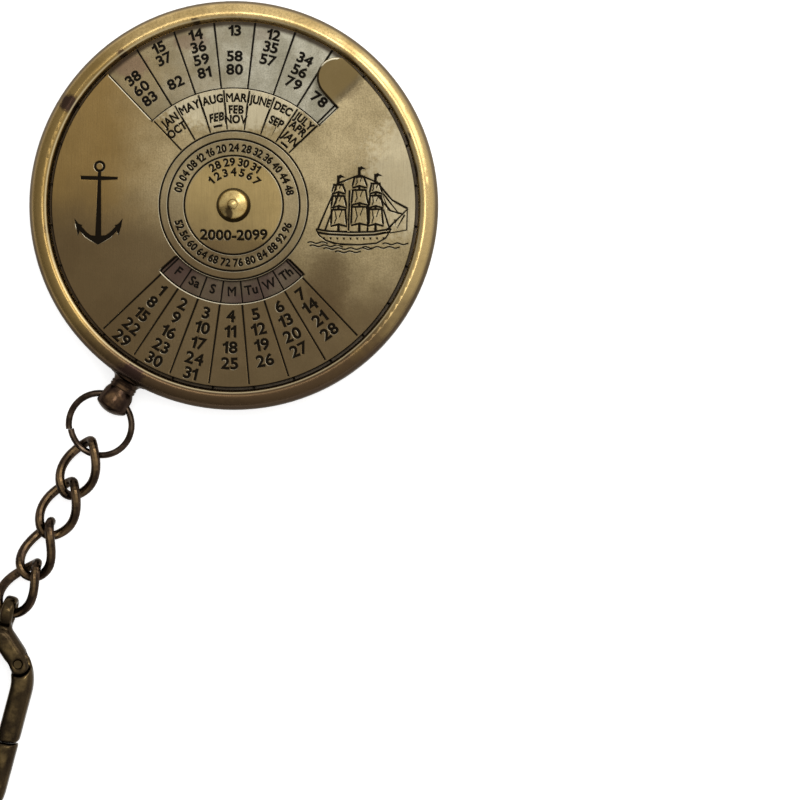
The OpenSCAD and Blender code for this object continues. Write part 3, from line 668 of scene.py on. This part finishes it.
# The friction washer is a plain stamped ring under the plate. It is springy enough to keep the plate where
# it is turned to, and only its edge can be seen.
washer_material, tree, place, metal, shader = brass(
    "washer_brass",
    fresh=(0.42, 0.31, 0.16, 1), tarnish=(0.25, 0.17, 0.08, 1), pits=(0.06, 0.04, 0.02, 1),
    cloud_scale=0.5, tarnished=0.5, grit_scale=8.0, pitted=0.15, smooth_roughness=0.35, dull_roughness=0.55,
)
finished(tree, shader, metal.outputs["Color"], metal.outputs["Roughness"], metal.outputs["Height"], 0.006)
dress("friction_washer", washer_material)

# The month plate is thin sheet brass that turns on the rivet. Months, days, leap years, an anchor and a
# sailing ship are etched in it and filled with black, the years' window and the weekdays' slot are cut out,
# and the window's right end is bent up as a finger tab. It is brushed, darkened and worn back unevenly.
# Its colour also holds painted light: shade to the left, low down, on the tab and on edges facing away, and
# sheen at the top and right
plate_r, plate_low, plate_top = 22.78, 4.55, 5.15
plate_turn = 1.5
window_r = 14.75
slot_in, slot_out, slot_half = 9.5, 12.2, 46.5
tab_length, tab_width, tab_angle, bend_r = 5.0, 5.0, math.radians(24), 2.0
tab_clock = plate_turn + 45
tab_start = plate_r - tab_width - 0.05


def tab_point(x, y):
    """A point of the tab from its place along the window's edge and its reach from that edge."""
    out_way = clock_point(1, tab_clock)
    return out_way * x + Vector((-out_way.y, out_way.x)) * y


def bent(r):
    """How far the tab is bent up at a place, for the face whose bend has this radius."""
    def lift(p):
        out_way = clock_point(1, tab_clock)
        x, y = p.dot(out_way), p.dot(Vector((-out_way.y, out_way.x)))
        if y <= 0 or y > tab_length + 1 or x < tab_start - 0.1:
            return 0.0
        if y < r * math.sin(tab_angle):
            return r - math.sqrt(r * r - y * y)
        return r - r * math.cos(tab_angle) + (y - r * math.sin(tab_angle)) * math.tan(tab_angle)
    return lift


cross_lines = [bend_r * math.sin(tab_angle) * i / 5 for i in range(1, 6)] + [1.3, 1.9]
half = tab_width / 2
straight = tab_length - half
round_end = [math.pi * i / 28 for i in range(29)]
sheet = [clock_point(plate_r, plate_turn - 45 - (360 - 90) * i / 190) for i in range(191)]
sheet += [tab_point(tab_start + tab_width, y) for y in [0.0] + cross_lines]
sheet += [tab_point(tab_start + half + half * math.cos(a), straight + half * math.sin(a)) for a in round_end]
sheet += [tab_point(tab_start, y) for y in cross_lines[::-1] + [0.0]]
left_edge = (window_r + 0.3, window_r + 1.5, 18.0, 20.0, 21.5, plate_r - 0.3)
right_edge = (tab_start - 0.3, tab_start - 1.2, window_r + 1.2, window_r + 0.3)
sheet += [clock_point(r, tab_clock) for r in right_edge]
sheet += [clock_point(window_r, plate_turn + 45 - 90 * i / 60) for i in range(61)]
sheet += [clock_point(r, plate_turn - 45) for r in left_edge]
slot = [clock_point(slot_out, plate_turn + 180 + slot_half - 2 * slot_half * i / 60) for i in range(61)]
slot += [clock_point(r, plate_turn + 180 - slot_half) for r in (slot_out - 0.3, slot_in + 0.3)]
slot += [clock_point(slot_in, plate_turn + 180 - slot_half + 2 * slot_half * i / 60) for i in range(61)]
slot += [clock_point(r, plate_turn + 180 + slot_half) for r in (slot_in + 0.3, slot_out - 0.3)]
pivot = [clock_point(1.6, -360 * i / 40) for i in range(40)]

figures = []
for r, width in ((9.29, 0.19), (8.24, 0.21), (6.18, 0.2)):
    figures.append(circle_line(r, width))
# The months of each column and their radii; those for leap years are slanted and underlined
month_columns = [
    [("JAN", 13.3), ("OCT", 11.8)],
    [("MAY", 13.45)],
    [("AUG", 13.45), ("_FEB", 11.2)],
    [("MAR", 13.46), ("FEB", 11.97), ("NOV", 10.75)],
    [("JUNE", 13.45)],
    [("DEC", 13.55), ("SEP", 11.7)],
    [("JULY", 13.7), ("APR", 12.5), ("_JAN", 10.96)],
]
for i, months in enumerate(month_columns):
    clock = plate_turn + (i - 3) * column
    for month, r in months:
        leap = month.startswith("_")
        lean = 0.22 if leap else 0.0
        figures += written(month.strip("_"), r, clock, 0.98, bold=0.05, wide=0.86, gap=0.14, lean=lean)
        if leap:
            figures.append(arc(r - 1.13, clock - 3.1, clock + 3.1, 0.26))
for i in range(8):
    clock = plate_turn + (i - 3.5) * column
    figures.append(stroke([clock_point(9.5, clock), clock_point(14.42, clock)], 0.18))
    figures.append(stroke([clock_point(12.52, clock + 180), clock_point(plate_r - 0.32, clock + 180)], 0.2))
day_rows = (13.9, 15.8, 17.8, 19.8, 21.7)
for day in range(1, 32):
    row, place_in_row = divmod(day - 1, 7)
    clock = plate_turn + 180 - (place_in_row - 3) * column
    figures += written(str(day), day_rows[row], clock, 1.38, inward=True, bold=0.06, gap=0.15, wide=1.1)
leap_years = [f"{year:02d}" for year in range(0, 100, 4)]
small = dict(height=0.93, bold=0.045, gap=0.11, wide=0.9)
figures += written(" ".join(leap_years[:13]), 7.2, plate_turn, **small)
figures += written(" ".join(leap_years[13:]), 7.2, plate_turn + 180, **small, inward=True)
figures += written("28 29 30 31", 5.4, plate_turn, 0.94, bold=0.045, wide=1.05)
figures += written("1 2 3 4 5 6 7", 4.15, plate_turn, 0.94, bold=0.045, wide=1.05)
# The years that the calendar is for stand on a level line, which is an arc of a very large radius
level_r, level_drop = 80.0, 3.75
for figure in written("2000-2099", level_r, 180, 1.22, inward=True, bold=0.05, gap=0.1, wide=1.12):
    figures.append([[p + Vector((0.0, level_r - level_drop)) for p in loop] for loop in figure])

# The anchor: ring, stock, shank, arms and flukes
anchor = Vector((-16.95, 0.0))


def about(centre, points):
    return [centre + Vector(p) for p in points]


def leaned(points):
    return about(anchor, [(x + 0.02 * (y + 4.9), y) for x, y in points])


full_turn = [math.tau * i / 22 for i in range(22)]
eyelet = [[(r * math.cos(a), 4.85 + r * math.sin(a)) for a in full_turn] for r in (0.7, 0.42)]
figures.append([leaned(loop) for loop in eyelet])
figures.append([leaned([(-2.3, 3.2), (0, 3.12), (2.25, 3.22), (2.3, 3.5), (0, 3.62), (-2.35, 3.68)])])
figures.append([leaned([(-0.19, 4.2), (-0.36, -4.0), (0.36, -4.0), (0.19, 4.2)])])
arm = [
    (0.0, -4.95), (0.85, -4.45), (1.6, -3.98), (2.36, -3.08), (2.2, -2.6), (1.45, -3.42), (0.95, -3.78),
    (0.0, -3.85),
]
fluke = [(3.02, -1.65), (2.82, -2.6), (2.55, -3.85), (2.35, -3.15), (2.05, -2.5), (2.5, -2.35)]
for side in (-1, 1):
    figures.append([leaned([(side * x, y) for x, y in arm])])
    figures.append([leaned([(side * x, y) for x, y in fluke])])

# The sailing ship, drawn in plain lines: hull and ports, three masts with sails and pennants, jibs and waves
ship = Vector((15.7, -0.35))
drawn_line = 0.24
narrowed = 0.9


def aboard(points):
    return about(ship, [(narrowed * x, y) for x, y in points])


def drawn(points, width=drawn_line, end_width=None):
    figures.append(stroke(aboard(points), width, end_width))


rail = [(-6.0, -2.65), (-4.2, -2.92), (-1.0, -3.04), (2.0, -2.98), (4.4, -2.62)]
drawn(rail, 0.22)
drawn([(x * 0.98, y - 0.4) for x, y in rail])
keel = [(-5.6, -3.4), (-4.6, -4.1), (-3.0, -4.5), (0.0, -4.62), (2.4, -4.42), (3.7, -3.75)]
drawn(rail[:1] + keel + rail[-1:], 0.17)
for i in range(10):
    x, y = -4.9 + 0.92 * i, -3.78 - 0.05 * math.sin(math.pi * i / 9)
    port = [(x - 0.11, y - 0.13), (x + 0.11, y - 0.13), (x + 0.11, y + 0.11), (x - 0.11, y + 0.11)]
    figures.append([aboard(port)])
# Each mast's place and top, and its sails from the top down: foot, head, and half the width of each
masts = [
    (-2.9, 3.3, [(1.75, 2.85, 0.85, 0.6), (0.0, 1.45, 1.0, 0.8), (-2.3, -0.25, 1.05, 0.95)]),
    (0.0, 4.35, [(2.5, 3.85, 0.95, 0.65), (0.35, 2.2, 1.1, 0.9), (-2.2, 0.1, 1.15, 1.05)]),
    (2.25, 3.5, [(1.75, 3.0, 0.8, 0.55), (0.0, 1.5, 0.92, 0.75), (-2.25, -0.2, 0.95, 0.88)]),
]
for x, top, sails in masts:
    breaks = [-2.95] + [y for sail in sails[::-1] for y in sail[:2]] + [top]
    for y0, y1 in zip(breaks[::2], breaks[1::2]):
        drawn([(x, y0), (x, y1 + 0.25)], 0.32)
    drawn([(x, top), (x, top + 0.75)], 0.3)
    pennant = [(-0.15, 0.6), (0.3, 0.85), (1.0, 0.5), (0.5, 0.5), (0.1, 0.3)]
    figures.append([aboard([(x + along, top + up) for along, up in pennant])])
    for foot, head, foot_half, head_half in sails:
        middle = (foot + head) / 2
        drawn([(x - head_half - 0.14, head + 0.04), (x + head_half + 0.16, head + 0.04)], 0.24)
        drawn([
            (x - head_half, head), (x - foot_half + 0.02, foot + 0.4), (x - foot_half, foot),
            (x + 0.08, foot + 0.24), (x + foot_half + 0.14, foot), (x + foot_half + 0.06, foot + 0.4),
            (x + head_half, head),
        ])
        drawn([(x - 0.55 * head_half, head), (x - 0.3, middle), (x - 0.55 * foot_half, foot + 0.35)], 0.12)
        drawn([(x + 0.5 * head_half, head), (x + 0.1, middle + 0.1)], 0.12)
stays = [
    [(-3.0, 3.1), (-5.75, -2.65)],
    [(-3.05, 1.4), (-4.75, -2.8)],
    [(0.0, 4.1), (-2.9, 3.1)],
    [(0.1, 4.1), (2.2, 3.3)],
    [(-1.35, 2.2), (-1.5, -2.9)],
    [(1.25, 0.3), (1.12, -2.9)],
    [(2.4, 3.3), (4.5, 1.0), (6.7, -0.05)],
    [(2.5, 1.6), (4.3, -0.35), (6.1, -0.8)],
    [(3.35, -0.2), (4.2, -2.6)],
]
for stay in stays:
    drawn(stay, 0.2)
drawn([(3.7, -2.85), (6.75, -0.1)], 0.24, 0.14)
drawn([(6.65, -0.15), (6.6, -2.75), (4.3, -3.15)], 0.14)
drawn([(3.2, 1.95), (4.0, -0.3), (5.5, -0.75), (3.2, 1.95)], 0.12)
drawn([(4.9, -1.45), (5.2, -2.6), (6.3, -0.9)], 0.14)
waves = [
    (-7.2, -4.4, -4.35), (-6.9, -2.3, -4.75), (-5.0, 1.8, -5.1),
    (3.2, 6.9, -4.5), (0.4, 5.6, -4.95), (-3.4, 0.2, -5.5),
]
for first, last, y in waves:
    steps = round((last - first) / 0.2)
    drawn([(first + 0.2 * j, y + 0.1 * math.sin(j * 0.75)) for j in range(steps + 1)], 0.14)


def plate_edge(p):
    """The rounding of the plate's edges, which is slight round the hub and outside."""
    return 0.26 if 9.6 < p.length < 22.5 else 0.08


folds = [(tab_point(tab_start, y), tab_point(tab_start + tab_width, y)) for y in [0.0] + cross_lines]
month_plate = etched_sheet(
    "etched_month_plate", sheet, [slot, pivot], figures, plate_top, plate_low,
    depth=0.13, lip=0.06, edge=plate_edge, folds=folds, rise=bent(bend_r), droop=bent(bend_r + 0.6),
)

plate_material, tree, place, metal, shader = brass(
    "etched_plate_brass",
    fresh=(0.31, 0.25, 0.14, 1), tarnish=(0.245, 0.192, 0.1, 1), pits=(0.08, 0.055, 0.025, 1),
    cloud_scale=0.11, tarnished=0.5, grit_scale=5.0, pitted=0.12, smooth_roughness=0.34, dull_roughness=0.5,
)
marks = brushed(tree, place, 0.03, 7.0, 0.25)
apart = put(tree, "ShaderNodeSeparateXYZ", {0: place})
slow = sum_of(tree, "SUBTRACT", noise(tree, place, 0.085, 5.0, 0.6), 0.5)
across = out_from_axis(tree, place)
# Browner and darker towards the left: tarnish, and painted shade on the side away from the light
leftward = sum_of(tree, "SUBTRACT", sum_of(tree, "MULTIPLY", slow, 12.0), apart.outputs[0])
browned_and_painted_shade = smooth(tree, leftward, 4.0, 17.0, 0.0, 0.92)
colour = mixed(tree, browned_and_painted_shade, metal.outputs["Color"], (0.188, 0.118, 0.038, 1))
colour = mixed(tree, smooth(tree, across, 9.35, 9.2, 0.0, 0.45), colour, (0.16, 0.125, 0.07, 1))
colour = mixed(tree, smooth(tree, across, 6.6, 5.6, 0.0, 0.85), colour, (0.275, 0.198, 0.078, 1))
# Pale patches at the top and the right: a painted sheen where the light falls
pale_painted_sheen = [(0.5, 12.8, 12.0, 4.2, 0.9), (23.0, 3.6, 8.0, 9.5, 0.6)]
colour = stained(tree, place, colour, (0.45, 0.395, 0.265, 1), pale_painted_sheen)
# Darker towards the bottom and lower left: painted shade, which also takes in the rivet's shadow below the
# hub
lower_painted_shade = measured_along(tree, place, (0.2, 0.97, 0.0))
lower_painted_shade = sum_of(tree, "ADD", lower_painted_shade, sum_of(tree, "MULTIPLY", slow, 14.0))
colour = mixed(tree, smooth(tree, lower_painted_shade, 1.0, -9.0, 0.0, 0.92), colour, (0.094, 0.064, 0.031, 1))
colour = mixed(tree, smooth(tree, marks, 0.42, 0.72, 0.0, 0.2), colour, (0.09, 0.06, 0.028, 1))
# Dark stains; the one just below the hub is a painted shadow of the rivet's button
colour = stained(tree, place, colour, (0.062, 0.038, 0.017, 1), [
    (11.8, -10.0, 3.4, 6.5, 0.42), (-14.5, -14.0, 5.0, 3.6, 0.15), (-20.5, -6.0, 1.8, 3.6, 0.15),
    (14.0, 15.2, 2.4, 2.6, 0.4), (0.0, -5.2, 5.2, 1.8, 0.45),
])
# The bent tab is painted darker, as shade on a face tilted away from the light
raised = sum_of(tree, "ADD", apart.outputs[2], sum_of(tree, "MULTIPLY", slow, 0.5))
tab_painted_shade = smooth(tree, raised, plate_top + 0.02, plate_top + 0.45, 0.0, 0.88)
colour = mixed(tree, tab_painted_shade, colour, (0.25, 0.178, 0.072, 1))
black = (0.03, 0.02, 0.012, 1)
# Edges facing the light are painted bright, rubbed metal and a painted highlight; those facing away are
# painted black as shade
edges = edge_wear(tree)
wear_and_painted_highlight = sum_of(tree, "MULTIPLY", edges["Wear And Painted Highlight"], smooth(tree, across, 22.6, 22.4))
colour = mixed(tree, sum_of(tree, "MULTIPLY", wear_and_painted_highlight, 0.9), colour, (0.92, 0.84, 0.62, 1))
colour = mixed(tree, sum_of(tree, "MULTIPLY", edges["Painted Shade"], 0.8), colour, black)
# The plate's outer edge is painted black, as the shadow in the gap by the rim
colour = mixed(tree, smooth(tree, across, 22.62, 22.74, 0.0, 0.75), colour, black)
etched = {"Place": place, "Face Height": plate_top}
filled = put(tree, "ShaderNodeGroup", etched, node_tree=etching).outputs[0]
colour = mixed(tree, filled, colour, (0.012, 0.009, 0.006, 1))
height = sum_of(tree, "ADD", metal.outputs["Height"], marks)
rough = sum_of(tree, "SUBTRACT", metal.outputs["Roughness"], sum_of(tree, "MULTIPLY", wear_and_painted_highlight, 0.15))
rough = sum_of(tree, "MAXIMUM", rough, sum_of(tree, "MULTIPLY", filled, 0.6))
finished(tree, shader, colour, rough, height, 0.008)
month_plate.data.materials.append(plate_material)
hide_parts("month_plate")
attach(month_plate, "plate")

# The rivet is turned from a brass rod: a button with a shallow cone and a nipple on top, a shoulder that the
# plate turns on, and a shank whose tail is peened over in the back of the case. Its face is polished, with
# painted shade on the cone's lower left, and the tapering side of the button is painted black as shade.
rivet_profile = [
    (0, 7.24), (0.16, 7.225), (0.32, 7.18), (0.46, 7.1), (0.56, 6.99), (0.63, 6.89), (0.7, 6.82),
    (0.8, 6.77), (0.92, 6.73), (1.05, 6.69), (1.2, 6.65), (1.4, 6.59), (1.55, 6.54), (1.66, 6.49),
    (1.73, 6.43), (1.78, 6.35), (1.83, 6.24), (1.9, 6.0), (1.97, 5.8), (2.05, 5.58), (2.11, 5.42),
    (2.14, 5.33), (2.15, 5.25), (2.13, 5.2), (2.1, 5.19), (1.55, 5.19), (1.55, 4.4), (1.1, 4.4),
    (1.1, 1.0), (2.02, 0.06), (1.96, 0.02), (1.5, 0.0), (0, 0),
]
sides, rows = 72, len(rivet_profile) - 3
verts = [(0, 0, rivet_profile[0][1] * MM), (0, 0, rivet_profile[-1][1] * MM)]
faces = []
for r, z in rivet_profile[1:-1]:
    turn = [math.tau * k / sides for k in range(sides)]
    verts += [(r * math.cos(a) * MM, r * math.sin(a) * MM, z * MM) for a in turn]
for k in range(sides):
    after = (k + 1) % sides
    faces.append((0, 2 + k, 2 + after))
    last = 2 + rows * sides
    faces.append((1, last + after, last + k))
    for row in range(rows):
        first = 2 + row * sides
        faces.append((first + k, first + sides + k, first + sides + after, first + after))
mesh = bpy.data.meshes.new("turned_rivet")
mesh.from_pydata(verts, [], faces)
mesh.shade_smooth()
mesh.set_sharp_from_angle(angle=math.radians(40))
rivet = bpy.data.objects.new("turned_rivet", mesh)
bpy.context.scene.collection.objects.link(rivet)
rivet_material, tree, place, metal, shader = brass(
    "rivet_brass",
    fresh=(0.66, 0.49, 0.20, 1), tarnish=(0.46, 0.31, 0.11, 1), pits=(0.12, 0.08, 0.03, 1),
    cloud_scale=0.9, tarnished=0.4, grit_scale=7.0, pitted=0.08, smooth_roughness=0.2, dull_roughness=0.36,
)
height_up = put(tree, "ShaderNodeSeparateXYZ", {0: place}).outputs[2]
# The tapering side of the button is painted black as shade, and painted shade lies on the cone's lower left
side_painted_shade = sum_of(tree, "MULTIPLY", smooth(tree, height_up, 6.36, 6.2), smooth(tree, height_up, 4.0, 5.0))
painted_shade_wedge = [(-0.5, -1.05, 0.62, 1.0, 0.95), (-1.0, -0.7, 0.8, 0.7, 0.5)]
colour = stained(tree, place, metal.outputs["Color"], (0.07, 0.045, 0.02, 1), painted_shade_wedge)
colour = mixed(tree, side_painted_shade, colour, (0.03, 0.018, 0.01, 1))
finished(tree, shader, colour, metal.outputs["Roughness"], metal.outputs["Height"], 0.006)
rivet.data.materials.append(rivet_material)
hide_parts("centre_rivet")
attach(rivet, "case")

# The pendant is a turned stud with two bands round its neck and a drilled round head, fixed in the side of
# the rim. It is bronzed nearly black in the turned grooves and brown where rubbed, with painted highlight
# there.
pendant_way = clock_point(1, 211.7)

# The upper and lower faces of a bronzed piece, rubbed first and painted with highlight: the mask is 1 where
# the bronze is gone
rubbed_and_lit_faces, given, gives = group(
    "rubbed_and_lit_faces",
    [("Place", "v", (0, 0, 0)), ("Normal", "v", (0, 0, 1)), ("Rubbed From", "f", 0.8)],
    [("Mask", "f")],
)
facing = put(rubbed_and_lit_faces, "ShaderNodeSeparateXYZ", {0: given["Normal"]}).outputs[2]
uneven = sum_of(rubbed_and_lit_faces, "SUBTRACT", noise(rubbed_and_lit_faces, given["Place"], 0.45, 4.0, 0.6), 0.5)
uneven = sum_of(rubbed_and_lit_faces, "MULTIPLY", uneven, 0.7)
high = sum_of(rubbed_and_lit_faces, "ADD", sum_of(rubbed_and_lit_faces, "ABSOLUTE", facing), uneven)
all_gone = sum_of(rubbed_and_lit_faces, "ADD", given["Rubbed From"], 0.4)
rubbed_and_lit_faces.links.new(smooth(rubbed_and_lit_faces, high, given["Rubbed From"], all_gone), gives["Mask"])


def bronze(name, node, wear_and_painted_highlight, rubbed_and_lit_from, relief, **looks):
    """Dresses a CAD piece in dark bronzed brass that is rubbed brighter, with a painted highlight, on its
    upper and lower faces.
    """
    material, tree, place, metal, shader = brass(name, **looks)
    normal = put(tree, "ShaderNodeTexCoord").outputs["Normal"]
    values = {"Place": place, "Normal": normal, "Rubbed From": rubbed_and_lit_from}
    rub_and_highlight = put(tree, "ShaderNodeGroup", values, node_tree=rubbed_and_lit_faces).outputs[0]
    colour = mixed(tree, rub_and_highlight, metal.outputs["Color"], wear_and_painted_highlight)
    shader.inputs["Specular Tint"].default_value = (0.62, 0.6, 0.57, 1)
    finished(tree, shader, colour, metal.outputs["Roughness"], metal.outputs["Height"], relief)
    dress(node, material)
    return tree, place, shader, colour


tree, place, shader, colour = bronze(
    "pendant_bronze", "pendant", (0.34, 0.2, 0.095, 1), 0.84, 0.005,
    fresh=(0.042, 0.025, 0.017, 1), tarnish=(0.024, 0.015, 0.011, 1), pits=(0.02, 0.013, 0.009, 1),
    cloud_scale=0.6, tarnished=0.6, grit_scale=6.0, pitted=0.12, smooth_roughness=0.13, dull_roughness=0.26,
)
reach = measured_along(tree, place, (pendant_way.x, pendant_way.y, 0))
grooves = smooth(tree, sum_of(tree, "SINE", sum_of(tree, "MULTIPLY", reach, 11.0)), 0.2, 0.8)
grooves = sum_of(tree, "MULTIPLY", grooves, smooth(tree, reach, 27.6, 27.3))
# The foot, where the pendant meets the rim, is painted black as the rim's shadow
foot = smooth(tree, reach, 26.6, 26.0)
dark = sum_of(tree, "MULTIPLY", sum_of(tree, "MAXIMUM", grooves, foot), 0.85)
colour = mixed(tree, dark, colour, (0.02, 0.012, 0.008, 1))
tree.links.new(colour, shader.inputs["Base Color"])

# The jump ring is a ring of brass wire, bent round and cut square, that passes through the pendant's head. It
# is bronzed dark, and only its upper and lower sides have been rubbed, with painted highlight on them.
bronze(
    "ring_bronze", "jump_ring", (0.27, 0.19, 0.125, 1), 0.88, 0.004,
    fresh=(0.045, 0.029, 0.02, 1), tarnish=(0.026, 0.017, 0.012, 1), pits=(0.02, 0.014, 0.01, 1),
    cloud_scale=0.7, tarnished=0.55, grit_scale=7.0, pitted=0.1, smooth_roughness=0.18, dull_roughness=0.32,
)

# The four curb links are closed ovals of wire, each given a twist so that the chain lies flat. They are dark
# bronze in the bends and golden where they rub on each other and on the pocket, a gold that also paints their
# highlight.
for i in range(4):
    bronze(
        f"link_{i + 1}_bronze", f"link_{i + 1}", (0.27, 0.172, 0.08, 1), 0.74 + 0.03 * i, 0.005,
        fresh=(0.048, 0.03, 0.019, 1), tarnish=(0.026, 0.017, 0.012, 1), pits=(0.02, 0.014, 0.01, 1),
        cloud_scale=0.6 + 0.07 * i, tarnished=0.5, grit_scale=6.0, pitted=0.1,
        smooth_roughness=0.18, dull_roughness=0.32,
    )

# The clasp's body is one casting: eye, neck, spine and nose. It has been tumbled smooth and bronzed, and its
# upper and lower faces have worn to a dark gold, which also paints their highlight.
cast_bronze = dict(
    fresh=(0.045, 0.031, 0.016, 1), tarnish=(0.026, 0.018, 0.011, 1), pits=(0.02, 0.014, 0.01, 1),
    tarnished=0.5, grit_scale=5.0, pitted=0.08, smooth_roughness=0.16, dull_roughness=0.3,
)
cast_gold_and_highlight = (0.27, 0.185, 0.075, 1)
bronze("clasp_body_bronze", "clasp_body", cast_gold_and_highlight, 0.9, 0.006, cloud_scale=0.35, **cast_bronze)


def tumbled(node, grain=0.14, passes=45):
    """Rounds a casting's edges, as tumbling does, at a grain size in mm."""
    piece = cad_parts[node]
    skin = piece.modifiers.new("cast_skin", "REMESH")
    skin.mode, skin.voxel_size, skin.use_smooth_shade = "VOXEL", grain * MM, True
    soft = piece.modifiers.new("tumbled_edges", "SMOOTH")
    soft.factor, soft.iterations = 0.5, passes


tumbled("clasp_body")

# The gate is the clasp's moving arm, cast to the same section as the body and tumbled with it. It reaches
# from the hinge at the shoulder to the seam at the nose, and is pushed inwards to open.
bronze("clasp_gate_bronze", "clasp_gate", cast_gold_and_highlight, 0.9, 0.006, cloud_scale=0.4, **cast_bronze)
tumbled("clasp_gate")

# The hinge pin is a piece of brass wire pressed through the clasp's cheeks, with the gate's tongue turning on
# it. Its ends are filed flush with the cheeks and polished.
bronze(
    "clasp_pin_brass", "clasp_pin", (0.11, 0.076, 0.033, 1), 0.8, 0.003,
    fresh=(0.06, 0.042, 0.02, 1), tarnish=(0.07, 0.048, 0.025, 1), pits=(0.03, 0.02, 0.012, 1),
    cloud_scale=1.5, tarnished=0.4, grit_scale=9.0, pitted=0.1, smooth_roughness=0.2, dull_roughness=0.35,
)

# The spring is wound from thin steel wire round the hinge pin, beside the gate's tongue. It sits inside the
# clasp, where it pushes the gate shut.
spring_material, tree, place, metal, shader = brass(
    "spring_steel",
    fresh=(0.42, 0.41, 0.40, 1), tarnish=(0.22, 0.21, 0.20, 1), pits=(0.10, 0.06, 0.04, 1),
    cloud_scale=1.2, tarnished=0.4, grit_scale=9.0, pitted=0.15, smooth_roughness=0.22, dull_roughness=0.4,
)
finished(tree, shader, metal.outputs["Color"], metal.outputs["Roughness"], metal.outputs["Height"], 0.003)
dress("clasp_spring", spring_material)
